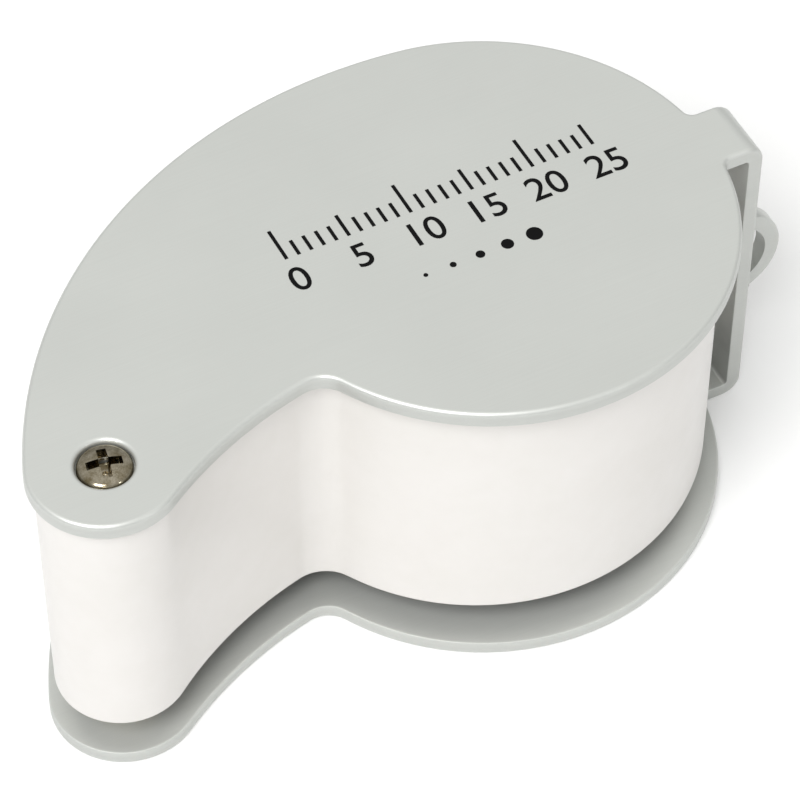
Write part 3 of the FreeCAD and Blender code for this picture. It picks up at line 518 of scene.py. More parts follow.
@dataclass(frozen=True)
class Finish:
    """A surface finish.

    Attributes:
        name: What the material is.
        colour: Its colour.
        shade: The colour that it wanders to in places.
        metallic: 1 for bare metal.
        roughness: Its mean roughness.
        spread: How far the roughness wanders.
        pattern: The run of its fine marks.
        size: Their size across, in millimetres.
        relief: Their height, in millimetres.
        mottle: The size of the patches in its colour, in millimetres.
        centre: The axis of turned marks, in millimetres.
        direction: The direction of hairlines, in degrees from X.
        upright: The brightness of upright faces, such as cut edges, against level ones: painted
            shade set by each face's facing.
        shader: Other inputs of the shader that are the same all over.
    """

    name: str
    colour: str
    shade: str
    metallic: float = 0.0
    roughness: float = 0.4
    spread: float = 0.05
    pattern: Pattern = Pattern.GRAIN
    size: float = 0.2
    relief: float = 0.002
    mottle: float = 6.0
    centre: tuple[float, float] = (0.0, 0.0)
    direction: float = 0.0
    upright: float = 1.0
    shader: dict = field(default_factory=dict)

    def marks(self, tree: Tree, place: Socket) -> Socket:
        """The fine marks as a value from 0 to 1.

        Args:
            tree: The material's tree.
            place: Object coordinates.

        Returns:
            The socket that gives the value.
        """
        mapping = partial(add_node, tree, "ShaderNodeMapping")
        fine = 1.0 / (self.size * MM)
        if self.pattern is Pattern.TURNED:
            # Mapping moves the axis of the rings to the piece's own axis.
            location = (-self.centre[0] * MM, -self.centre[1] * MM, 0)
            moved = mapping(inputs={"Location": location}, links={"Vector": place})
            # Blender's wave texture repeats every pi / 10 at a scale of 1.
            scale = fine / 20 * math.pi
            rings = add_node(
                tree,
                "ShaderNodeTexWave",
                {"wave_type": "RINGS", "rings_direction": "Z"},
                {"Scale": scale, "Distortion": 1.5, "Detail": 2.0, "Detail Scale": 2.0},
                {"Vector": moved.outputs["Vector"]},
            )
            return rings.outputs["Fac"]
        along = fine / HAIR_LONG if self.pattern is Pattern.HAIRLINE else fine
        # Rotation is undone before the scale, so hairlines run along their direction.
        rotation = (0, 0, math.radians(-self.direction))
        turned_back = mapping(inputs={"Rotation": rotation}, links={"Vector": place})
        scaled = mapping(
            inputs={"Scale": (along, fine, fine)}, links={"Vector": turned_back.outputs["Vector"]}
        )
        grain = {"Scale": 1.0, "Detail": 3.0, "Roughness": 0.6}
        links = {"Vector": scaled.outputs["Vector"]}
        return add_node(tree, "ShaderNodeTexNoise", inputs=grain, links=links).outputs["Fac"]

    def dulled(self, tree: Tree, colour: Socket, normal: Socket) -> Socket:
        """Darkens every face that stands upright, going by its normal: painted shade on the cut
        edges, bends and spine, partly standing for a duller unbrushed finish.

        Args:
            tree: The material's tree.
            colour: The colour of level faces.
            normal: The object's normals.

        Returns:
            The colour of every face.
        """
        facing = add_node(tree, "ShaderNodeSeparateXYZ", links={"Vector": normal}).outputs["Z"]
        flat = add_node(tree, "ShaderNodeMath", {"operation": "ABSOLUTE"}, links={0: facing})
        scale = ranged(tree, flat.outputs[0], (self.upright, 1.0))
        links = {"Vector": colour, "Scale": scale}
        node = add_node(tree, "ShaderNodeVectorMath", {"operation": "SCALE"}, links=links)
        return node.outputs["Vector"]

    def make(self) -> bpy.types.Material:
        """Makes the material.

        Returns:
            The material, or the one made before for the same finish.
        """
        found = bpy.data.materials.get(self.name)
        if found:
            return found
        material = bpy.data.materials.new(self.name)
        material.use_nodes = True
        tree = material.node_tree
        tree.nodes.clear()
        coordinates = add_node(tree, "ShaderNodeTexCoord").outputs
        place = coordinates["Object"]
        marks = self.marks(tree, place)
        noise = {"Scale": 1.0 / (self.mottle * MM), "Detail": 4.0, "Roughness": 0.55}
        patches = add_node(tree, "ShaderNodeTexNoise", inputs=noise, links={"Vector": place})
        both = add_node(
            tree,
            "ShaderNodeMix",
            {"data_type": "FLOAT"},
            {"Factor": MARK_SHARE},
            {2: patches.outputs["Fac"], 3: marks},
        )
        clear = ranged(tree, both.outputs[0], (0.0, 1.0), NOISE_SPAN)
        colour = blended(tree, clear, self.colour, self.shade)
        # Upright faces are darkened by their facing here: painted shade.
        if self.upright < 1.0:
            colour = self.dulled(tree, colour, coordinates["Normal"])
        smoothest = max(self.roughness - self.spread, 0.0)
        rough = ranged(tree, clear, (smoothest, self.roughness + self.spread))
        height = {"Strength": 1.0, "Distance": self.relief * MM}
        bump = add_node(tree, "ShaderNodeBump", inputs=height, links={"Height": marks})
        shader = add_node(
            tree,
            "ShaderNodeBsdfPrincipled",
            inputs={"Metallic": self.metallic, **self.shader},
            links={"Base Color": colour, "Roughness": rough, "Normal": bump.outputs["Normal"]},
        )
        add_node(tree, "ShaderNodeOutputMaterial", links={"Surface": shader.outputs["BSDF"]})
        return material


# Aluminium sheet, fine-brushed and clear anodised: an even pale grey with a soft sheen, and
# hairlines that only show close up. They are 0.05 mm wide, and are drawn at 0.12 mm to show at all.
# Its upright faces, bent and cut, are darkened by their facing: painted shade, partly standing for
# their duller unbrushed finish.
COVER_METAL = Finish(
    "anodised_aluminium", "#D7D9D5", "#D1D3CF", 0.52, 0.4, 0.05, Pattern.HAIRLINE, 0.12, 0.0018,
    14.0, direction=-13.7, upright=0.76,
)
# Screen-printed ink: a dull near-black film.
INK = Finish(
    "screen_print_ink", "#060607", "#0C0C0D", 0.0, 0.6, 0.06, Pattern.GRAIN, 0.15, 0.002, 2.0,
    shader={"Specular IOR Level": 0.12},
)
# Bright nickel over steel: warm mirror-like highlights, and dark brown patches in its colour that
# are painted reflection.
NICKEL = Finish(
    "nickel_plated_steel", "#BDB5A4", "#716548", 1.0, 0.13, 0.06, Pattern.GRAIN, 0.1, 0.0012, 0.7,
)
# Turned free-cutting brass: yellow, with rings from the tool.
BRASS = Finish(
    "turned_brass", "#C9A25A", "#B08A46", 1.0, 0.24, 0.06, Pattern.TURNED, 0.15, 0.003, 2.0,
    centre=(-34.8, 0.0),
)
# Blued spring steel: dark and slightly bluish.
SPRING = Finish(
    "spring_steel", "#6E7278", "#565A60", 1.0, 0.3, 0.06, Pattern.TURNED, 0.15, 0.002, 2.0,
    centre=(-34.8, 0.0),
)
# Natural nylon: milky, waxy, a little light inside.
NYLON = Finish(
    "natural_nylon", "#E6E2D6", "#DAD5C6", 0.0, 0.45, 0.05, Pattern.GRAIN, 0.2, 0.003, 2.5,
    shader={"Subsurface Weight": 0.2, "Subsurface Radius": (0.002, 0.002, 0.0015), "IOR": 1.53},
)
# ABS moulded in a polished tool and lacquered white: bright, smooth, very faint waviness.
HOUSING = Finish(
    "moulded_white_abs", "#DDDAD7", "#D9D6D2", 0.0, 0.32, 0.04, Pattern.GRAIN, 1.6, 0.004, 9.0,
    shader={"IOR": 1.54, "Specular IOR Level": 0.45},
)
# ABS moulded black with a fine spark-eroded grain: dull and slightly grey where light grazes.
FRAME = Finish(
    "eroded_black_abs", "#1B1B1C", "#232324", 0.0, 0.55, 0.08, Pattern.GRAIN, 0.25, 0.012, 5.0,
    shader={"IOR": 1.54},
)
DOOR = Finish(
    "battery_door_black_abs", "#181819", "#202021", 0.0, 0.48, 0.08, Pattern.GRAIN, 0.22, 0.01, 4.0,
    shader={"IOR": 1.54},
)
# Optical acrylic with a thin coating: clear, with a slight blue-green bloom.
ACRYLIC = Finish(
    "optical_acrylic", "#FBFFFE", "#F6FDFB", 0.0, 0.02, 0.01, Pattern.GRAIN, 3.0, 0.0, 8.0,
    shader={"IOR": 1.49, "Transmission Weight": 1.0, "Coat Weight": 0.15, "Coat Roughness": 0.02,
            "Coat Tint": linear("#B8D8F0")},
)
# Black anodised aluminium rings, turned.
RING = Finish(
    "black_anodised_ring", "#202124", "#2B2C2F", 0.6, 0.34, 0.07, Pattern.TURNED, 0.2, 0.004, 3.0,
)
# Water-clear lamp epoxy.
EPOXY = Finish(
    "lamp_epoxy", "#F8FBFF", "#EEF4FA", 0.0, 0.06, 0.03, Pattern.GRAIN, 0.8, 0.001, 2.0,
    shader={"IOR": 1.53, "Transmission Weight": 0.95},
)
# Stamped reflector cup, with the yellow phosphor on the die.
CUP = Finish(
    "lamp_cup_silver", "#D6D6D2", "#BFBFBA", 1.0, 0.2, 0.05, Pattern.GRAIN, 0.2, 0.002, 1.0
)
PHOSPHOR = Finish(
    "lamp_phosphor", "#E8D24A", "#DCC238", 0.0, 0.6, 0.05, Pattern.GRAIN, 0.1, 0.004, 0.5
)
# Tinned copper leads: pale, soft, slightly frosted.
TIN = Finish("tinned_lead", "#C4C6C8", "#ADB0B3", 1.0, 0.36, 0.08, Pattern.GRAIN, 0.15, 0.003, 1.0)
# Green solder mask over glass-fibre board, with the weave faintly through.
BOARD = Finish(
    "solder_mask_board", "#1E5A3A", "#17492F", 0.0, 0.34, 0.06, Pattern.GRAIN, 0.45, 0.006, 2.5
)
# Nickel-plated cell cans.
CELL = Finish(
    "button_cell_steel", "#C6C8C9", "#B4B6B8", 1.0, 0.26, 0.06, Pattern.TURNED, 0.3, 0.002, 3.0
)
CONTACT = Finish(
    "contact_nickel", "#C9C6BC", "#B3AFA3", 1.0, 0.25, 0.06, Pattern.GRAIN, 0.2, 0.002, 1.5
)
SWITCH_STEEL = Finish(
    "switch_steel", "#B7BABC", "#9DA0A3", 1.0, 0.33, 0.07, Pattern.HAIRLINE, 0.1, 0.002, 2.0
)
# Nylon knob, black, polished a little on its ribs by the thumb.
KNOB = Finish(
    "knob_black_nylon", "#161617", "#242425", 0.0, 0.42, 0.08, Pattern.GRAIN, 0.18, 0.006, 1.2
)
SMALL_SCREW = Finish(
    "blackened_screw", "#2A2B2D", "#3A3B3D", 0.9, 0.34, 0.08, Pattern.GRAIN, 0.15, 0.004, 1.0
)
# PVC wire insulation: plain colours with a soft shine.
RED = Finish("red_pvc", "#B3201E", "#9E1816", 0.0, 0.36, 0.05, Pattern.GRAIN, 0.3, 0.003, 2.0)
BLACK = Finish("black_pvc", "#18181A", "#222224", 0.0, 0.38, 0.05, Pattern.GRAIN, 0.3, 0.003, 2.0)
BLUE = Finish("blue_pvc", "#1F4F9E", "#194286", 0.0, 0.36, 0.05, Pattern.GRAIN, 0.3, 0.003, 2.0)
# The studio floor: matt white paper.
PAPER = Finish(
    "floor_paper", "#F0F0F0", "#EFEFEF", 0.0, 0.9, 0.02, Pattern.GRAIN, 1.0, 0.0, 40.0,
    shader={"Emission Color": (1.0, 1.0, 1.0, 1.0), "Emission Strength": 0.12},
)


# ---------------------------------------------------------------- pieces


def make_piece(name: str, mesh: Mesh, body: Body, finish: Finish, slot: str, *nodes: str) -> None:
    """Turns a shaped mesh into a finished piece in its place.

    Args:
        name: The piece's name.
        mesh: Its mesh in millimetres. Pieces of the lens body are drawn square to X.
        body: The body that it rides on.
        finish: Its finish.
        slot: The record's material slot. It is not used.
        nodes: The CAD nodes that it stands for.
    """
    if body is not Body.COVER:
        mesh.transform(SWING)
    mesh.transform(Matrix.Scale(MM, 4))
    data = bpy.data.meshes.new(name)
    mesh.to_mesh(data)
    mesh.free()
    data.shade_smooth()
    data.set_sharp_from_angle(angle=math.radians(SHARP_DEG))
    data.materials.append(finish.make())
    piece = placed(name, data)
    weighted = piece.modifiers.new("weighted_normals", "WEIGHTED_NORMAL")
    weighted.keep_sharp = True
    weighted.weight = 80
    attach(piece, body.value)
    if nodes:
        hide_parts(*nodes)
    log.info("%s: %d faces on %s", name, len(data.polygons), body.value)


def dress_node(node: str, finish: Finish) -> None:
    """Gives a CAD node that stays in view its finish."""
    thing = frame["nodes"][node]
    if not thing.material_slots:
        thing.data.materials.append(None)
    for slot in thing.material_slots:
        slot.material = finish.make()
    log.info("%s: kept from the CAD", node)


@dataclass(frozen=True)
class Comma:
    """The comma-shaped outline that the plates and the lens body share.

    Attributes:
        lens: Radius round the lens.
        pivot: Radius round the pivot.
        back: Radius of the long convex side.
        front: Radius of the shallow concave side.
        notch: Radius in the notch.
        front_x: Where the concave side's centre lies along X.
    """

    lens: float
    pivot: float
    back: float
    front: float
    notch: float
    front_x: float = -21.4

    def inset(self, by: float) -> "Comma":
        """The same outline drawn in by a distance."""
        smaller = (self.lens - by, self.pivot - by, self.back - by)
        return Comma(*smaller, self.front + by, self.notch + by, self.front_x)

    def centres(self) -> tuple[Vector, Vector, Vector]:
        """The centres of the back, front and notch arcs."""
        spacing = -PIVOT.x
        near, far = self.back - self.lens, self.back - self.pivot
        back_x = (far**2 - near**2 - spacing**2) / (2 * spacing)
        back = Vector((back_x, -math.sqrt(near**2 - back_x**2), 0))
        rise = math.sqrt((self.pivot + self.front) ** 2 - (self.front_x + spacing) ** 2)
        front = Vector((self.front_x, -rise, 0))
        reach, gap = self.lens + self.notch, front.length
        along = (reach**2 - (self.front - self.notch) ** 2 + gap**2) / (2 * gap)
        across = math.sqrt(reach**2 - along**2)
        unit = front.normalized()
        notch = along * unit + across * Vector((unit.y, -unit.x, 0))
        return back, front, notch

    def draw(self, pen: Pen, z: float, first: float, last: float) -> None:
        """Draws the outline counter-clockwise with a pen that stands on the lens arc.

        Args:
            pen: The pen.
            z: The outline's height.
            first: The pen's angle round the lens, in degrees.
            last: The angle where the outline ends on the lens arc.
        """
        back, front, notch = self.centres()
        pivot = Vector((PIVOT.x, 0, 0))
        raise_to = Vector((0, 0, z))

        def heading(start: Vector, end: Vector) -> float:
            """The direction from one point to another, in degrees."""
            return math.degrees(math.atan2(end.y - start.y, end.x - start.x))

        def turn(start: float, end: float, clockwise: bool = False) -> float:
            """The sweep between two directions, one way round."""
            return -((start - end) % 360) if clockwise else (end - start) % 360

        lens = Vector((0, 0, 0))
        pen.arc(lens + raise_to, turn(first, heading(back, lens)))
        pen.arc(back + raise_to, turn(heading(back, lens), heading(back, pivot)))
        pen.arc(pivot + raise_to, turn(heading(back, pivot), heading(pivot, front)))
        pen.arc(front + raise_to, turn(heading(front, pivot), heading(front, notch), True))
        pen.arc(notch + raise_to, turn(heading(front, notch), heading(notch, lens), True))
        pen.arc(lens + raise_to, turn(heading(lens, notch), last))

    def outline(self, z: float) -> Mesh:
        """The closed outline at a height, as a mesh of edges."""
        mesh = bmesh.new()
        pen = Pen(mesh, Vector((self.lens, 0, z)))
        self.draw(pen, z, 0.0, 0.0)
        pen.close()
        return mesh


@dataclass
class FoldedCover:
    """The cover: one sheet folded twice, with a lanyard bridge pushed out of its spine."""

    sheet: float = 1.3
    plate: Comma = Comma(18.5, 5.6, 39.0, 34.5, 2.2)
    spine_angle: float = -14.3
    spine_reach: float = 21.85
    spine_half: float = 2.6
    bend: float = 1.6
    fillet: float = 0.7
    bridge_half: float = 0.7
    bridge_radius: float = 4.4
    bridge_out: float = 21.0
    bridge_height: float = 13.65
    outer_round: float = 0.35
    inner_round: float = 0.16
    bridge_round: float = 0.22
    screw_hole: float = 1.1
    recess: float = 2.08
    countersink: float = 2.0
    fold_steps: int = 9
    bridge_steps: int = 28

    def place(self, out: float, side: float, z: float) -> Vector:
        """A point given along the spine's direction, across it and in height."""
        return Matrix.Rotation(math.radians(self.spine_angle), 3, "Z") @ Vector((out, side, z))

    def placing(self, edge: bmesh.types.BMEdge) -> list[Vector]:
        """An edge's two ends, as distances along the spine's direction, across it and in height."""
        back = Matrix.Rotation(math.radians(-self.spine_angle), 3, "Z")
        return [back @ vert.co for vert in edge.verts]

    def plate_skin(self, mesh: Mesh, z: float) -> None:
        """Draws and fills one plate, with the tab that runs into the spine.

        Args:
            mesh: The mesh to draw in.
            z: The height of the plate's outer face.
        """
        fold = self.spine_reach - self.bend
        centre_side = self.spine_half + self.fillet
        centre_out = math.sqrt((self.plate.lens + self.fillet) ** 2 - centre_side**2)
        lean = math.degrees(math.atan2(centre_side, centre_out))
        before = set(mesh.edges)
        pen = Pen(mesh, self.place(fold, self.spine_half, z))
        pen.line(self.place(centre_out, self.spine_half, z))
        pen.arc(self.place(centre_out, centre_side, z), lean - 90)
        self.plate.draw(pen, z, self.spine_angle + lean, self.spine_angle - lean)
        pen.arc(self.place(centre_out, -centre_side, z), lean - 90)
        for side in (-self.spine_half, -self.bridge_half, self.bridge_half):
            pen.line(self.place(fold, side, z))
        pen.close()
        bmesh.ops.contextual_create(mesh, geom=[e for e in mesh.edges if e not in before])

    def row(self, mesh: Mesh, out: float, z: float, centre: Optional[bool] = None) -> list:
        """The strip's edges across the spine at one place.

        Args:
            mesh: The skin.
            out: The distance along the spine's direction.
            z: The height.
            centre: True for the bridge's edge only, False for the others, None for all.

        Returns:
            The edges.
        """
        found = []
        for edge in mesh.edges:
            ends = self.placing(edge)
            if any(abs(p.x - out) > NEAR or abs(p.z - z) > NEAR for p in ends):
                continue
            is_centre = abs(ends[0].y + ends[1].y) < NEAR
            if centre is None or centre == is_centre:
                found.append(edge)
        return found

    def bent(self, mesh: Mesh, edges: list, out: float, z: float, sweep: float, steps: int) -> None:
        """Spins edges about a line across the spine.

        Args:
            mesh: The skin.
            edges: The edges.
            out: The line's distance along the spine's direction.
            z: Its height.
            sweep: The angle in degrees.
            steps: Facets along the bend.
        """
        verts = list({vert for edge in edges for vert in edge.verts})
        centre, axis = self.place(out, 0, z), self.place(0, 1, 0)
        spun(mesh, verts + edges, centre, axis, math.radians(sweep), steps)

    def skin(self) -> Mesh:
        """The sheet's outer face, from the upper plate over the spine to the lower plate."""
        mesh = bmesh.new()
        fold = self.spine_reach - self.bend
        half_turn = math.acos((self.spine_reach - self.bridge_out) / self.bridge_radius)
        rise = self.bridge_radius * math.sin(half_turn)
        high, low = self.bridge_height + rise, self.bridge_height - rise
        shoulder = PLATE_TOP - self.bend
        self.plate_skin(mesh, PLATE_TOP)
        self.bent(mesh, self.row(mesh, fold, PLATE_TOP), fold, shoulder, 90, self.fold_steps)
        extruded(mesh, self.row(mesh, self.spine_reach, shoulder), high - shoulder)
        across = self.row(mesh, self.spine_reach, high, False)
        bridge = self.row(mesh, self.spine_reach, high, True)
        extruded(mesh, across, low - high)
        sweep = 2 * math.degrees(half_turn)
        self.bent(mesh, bridge, self.bridge_out, self.bridge_height, sweep, self.bridge_steps)
        bmesh.ops.remove_doubles(mesh, verts=mesh.verts, dist=SKIN_WELD)
        extruded(mesh, self.row(mesh, self.spine_reach, low), self.bend - low)
        foot = self.row(mesh, self.spine_reach, self.bend)
        self.bent(mesh, foot, fold, self.bend, 90, self.fold_steps)
        self.plate_skin(mesh, 0.0)
        bmesh.ops.remove_doubles(mesh, verts=mesh.verts, dist=SKIN_WELD)
        face_outwards(mesh, UP)
        return mesh

    def build(self) -> None:
        """Makes the folded sheet with its rounded edges and screw seats."""
        mesh = walled(self.skin(), self.sheet)
        rims = mesh.edges.layers.int.get(RIM)
        on_bridge = {Rim.OUTER.value: Rim.BRIDGE.value, Rim.INNER.value: Rim.SHARP.value}
        half = self.bridge_half + 0.05
        for edge in mesh.edges:
            if all(abs(p.y) < half and p.x > self.plate.lens for p in self.placing(edge)):
                edge[rims] = on_bridge.get(edge[rims], edge[rims])
        rim_rounded(mesh, Rim.OUTER, self.outer_round, 4)
        rim_rounded(mesh, Rim.INNER, self.inner_round, 2)
        rim_rounded(mesh, Rim.BRIDGE, self.bridge_round, 3)
        mesh = joined(mesh, Join.CUT, self.head_seat(), self.lower_seat())
        node = "folded_cover"
        make_piece("folded_cover_sheet", mesh, Body.COVER, COVER_METAL, "cover_metal", node)

    def head_seat(self) -> Mesh:
        """The space of the upper screw's hole and its recess, with a rounded lip."""
        lip, floor = self.outer_round, PLATE_TOP - RECESS_DEEP
        return turned(
            (0, PLATE_TOP - 3), (self.screw_hole, PLATE_TOP - 3), (self.screw_hole, floor),
            (self.recess, floor), (self.recess, PLATE_TOP - lip),
            Arc(self.recess + lip, PLATE_TOP - lip, -90),
            (self.recess + lip, PLATE_TOP + PAST), (0, PLATE_TOP + PAST), at=PIVOT,
        )

    def lower_seat(self) -> Mesh:
        """The space of the lower screw's hole and countersink."""
        return turned(
            (0, -PAST), (self.countersink, -PAST), (self.countersink, 0.05),
            (self.screw_hole, COUNTERSUNK), (self.screw_hole, 3), (0, 3), at=PIVOT,
        )


@dataclass
class PrintedScale:
    """A generic print on the upper plate: a millimetre rule with its numerals and a row of dots."""

    origin: tuple[float, float] = (-13.3, 6.35)
    direction: float = -13.7
    length: int = 25
    stroke: float = 0.27
    ticks: tuple[float, float, float] = (1.5, 2.2, 3.0)
    numeral: float = 2.3
    numeral_drop: float = 0.9
    # The font's size is this many times the height of its numerals.
    font_scale: float = 1.4
    weight: float = 0.012
    film: float = 0.02
    dots: tuple[float, ...] = (0.35, 0.5, 0.7, 0.95, 1.25)
    dot_pitch: float = 2.2
    dot_drop: float = 5.9
    dot_facets: int = 40

    def laid(self, mesh: Mesh) -> Mesh:
        """Turns marks drawn along X to the print's place on the plate."""
        turning = Matrix.Rotation(math.radians(self.direction), 4, "Z")
        mesh.transform(Matrix.Translation((*self.origin, PLATE_TOP)) @ turning)
        return mesh

    def rule(self) -> Mesh:
        """The ticks, one each millimetre."""
        mesh = bmesh.new()
        for mark in range(self.length + 1):
            tall = self.ticks[2 if mark % 10 == 0 else 1 if mark % 5 == 0 else 0]
            made = bmesh.ops.create_cube(mesh, size=1.0)["verts"]
            bmesh.ops.scale(mesh, vec=(self.stroke, tall, self.film), verts=made)
            bmesh.ops.translate(mesh, vec=(mark, tall / 2, self.film / 2), verts=made)
        return self.laid(mesh)

    def gauge(self) -> Mesh:
        """A row of dots that grow from left to right."""
        mesh = bmesh.new()
        start = (self.length - self.dot_pitch * (len(self.dots) - 1)) / 2
        for number, across in enumerate(self.dots):
            made = bmesh.ops.create_cone(
                mesh, cap_ends=True, segments=self.dot_facets, radius1=across / 2,
                radius2=across / 2, depth=self.film,
            )["verts"]
            centre = (start + self.dot_pitch * number, -self.dot_drop, self.film / 2)
            bmesh.ops.translate(mesh, vec=centre, verts=made)
        return self.laid(mesh)

    def numerals(self) -> Mesh:
        """The numerals under every fifth tick."""
        mesh = bmesh.new()
        for mark in range(0, self.length + 1, 5):
            curve = bpy.data.curves.new("numeral", "FONT")
            curve.body = str(mark)
            curve.size = self.numeral * self.font_scale
            curve.offset = self.weight
            curve.align_x = "CENTER"
            curve.extrude = self.film / 2
            curve.resolution_u = 6
            letter = placed("numeral", curve)
            graph = bpy.context.evaluated_depsgraph_get()
            data = bpy.data.meshes.new_from_object(letter.evaluated_get(graph), depsgraph=graph)
            drop = self.numeral_drop + self.numeral
            data.transform(Matrix.Translation((mark, -drop, self.film / 2)))
            mesh.from_mesh(data)
            bpy.data.meshes.remove(data)
            bpy.data.objects.remove(letter)
            bpy.data.curves.remove(curve)
        bmesh.ops.remove_doubles(mesh, verts=mesh.verts, dist=1e-5)
        return self.laid(mesh)

    def build(self) -> None:
        """Prints the three rows of marks."""
        for name, mesh in (
            ("printed_rule", self.rule()),
            ("printed_numerals", self.numerals()),
            ("printed_dots", self.gauge()),
        ):
            make_piece(name, mesh, Body.COVER, INK, "cover_metal")


@dataclass
class PivotHardware:
    """The post between the plates, its two screws, and the rings that space the lens body."""

    head: float = 2.0
    head_below_seat: float = 0.2
    dome: float = 4.5
    edge: float = 0.5
    chamfer: float = 0.06
    point: float = 0.3
    shank: float = 0.98
    slot_wide: float = 0.72
    slot_turns: tuple[float, float] = (-26.0, 64.0)
    slot_reach: float = 1.36
    slot_foot: float = 0.75
    low_head: float = 1.86
    low_slot_foot: float = 0.62
    low_slot_flare: float = 1.9
    post: float = 1.55
    tap: float = 1.02
    collar: float = 2.0
    washer: float = 2.8

    def cross(self, low: float, high: float, reach: float, foot: float) -> list[Mesh]:
        """The two tapering arms of a cross recess.

        Args:
            low: The recess's lower end.
            high: Its upper end.
            reach: The half length of an arm at the upper end.
            foot: The scale of the lower end.

        Returns:
            The two arms.
        """
        size = (2 * reach, self.slot_wide * min(1.0, 1 / foot), high - low)
        centre = (PIVOT.x, PIVOT.y, (low + high) / 2)
        return [block(size, centre, turn, foot) for turn in self.slot_turns]

    def upper_screw(self) -> Mesh:
        """The pan-head screw in the upper plate."""
        low, high = level("pivot_screw_top")
        seat = PLATE_TOP - RECESS_DEEP
        under = seat - self.head_below_seat
        crown = high - self.dome
        # The rounded edge meets the dome at this angle from the axis.
        meeting = math.asin((self.head - self.edge) / (self.dome - self.edge))
        shoulder = crown + (self.dome - self.edge) * math.cos(meeting)
        blank = turned(
            (0, low), (self.shank - self.point, low), (self.shank, low + self.point),
            (self.shank, under), (self.head - self.chamfer, under),
            (self.head, under + self.chamfer), (self.head, shoulder),
            Arc(self.head - self.edge, shoulder, 90 - math.degrees(meeting)),
            Arc(0, crown, math.degrees(meeting)), at=PIVOT,
        )
        above = high + 0.2
        pit = turned((0, seat - 0.7), (0.2, seat - 0.5), (0.6, above), (0, above), at=PIVOT)
        arms = self.cross(seat - 0.4, above, self.slot_reach, self.slot_foot)
        return joined(blank, Join.CUT, *arms, pit)

    def lower_screw(self) -> Mesh:
        """The countersunk screw in the lower plate."""
        high = level("pivot_screw_bottom")[1]
        face = 0.03
        blank = turned(
            (0, face), (self.low_head - self.chamfer, face), (self.low_head, face + self.chamfer),
            (self.shank, COUNTERSUNK), (self.shank, high - self.point),
            (self.shank - self.point, high), (0, high), at=PIVOT,
        )
        arms = self.cross(-0.2, 0.8, self.low_slot_foot, self.low_slot_flare)
        return joined(blank, Join.CUT, *arms)

    def build(self) -> None:
        """Makes every piece on the pivot that belongs to the cover."""
        for name, mesh, node in (
            ("upper_pivot_screw", self.upper_screw(), "pivot_screw_top"),
            ("lower_pivot_screw", self.lower_screw(), "pivot_screw_bottom"),
        ):
            make_piece(name, mesh, Body.COVER, NICKEL, "nickel_screw", node)
        for name, bore, outer, edge, finish, slot, node in (
            ("tapped_post", self.tap, self.post, 0.12, BRASS, "brass_pivot", "pivot_post"),
            ("nylon_collar", FREE_BORE, self.collar, 0.1, NYLON, "washer_nylon", "spacer_collar"),
            ("nylon_washer", FREE_BORE, self.washer, 0.1, NYLON, "washer_nylon", "upper_washer"),
        ):
            ring = softened(tube(bore, outer, *level(node), PIVOT), edge)
            make_piece(name, ring, Body.COVER, finish, slot, node)
        low, high = level("disc_spring")
        spring = turned(
            (2.6, low), (2.9, low), (2.9, low + 0.12), (2.3, high), (FREE_BORE, high),
            (FREE_BORE, high - 0.26), (2.6, low), at=PIVOT,
        )
        make_piece("pivot_disc_spring", spring, Body.COVER, SPRING, "spring_steel", "disc_spring")


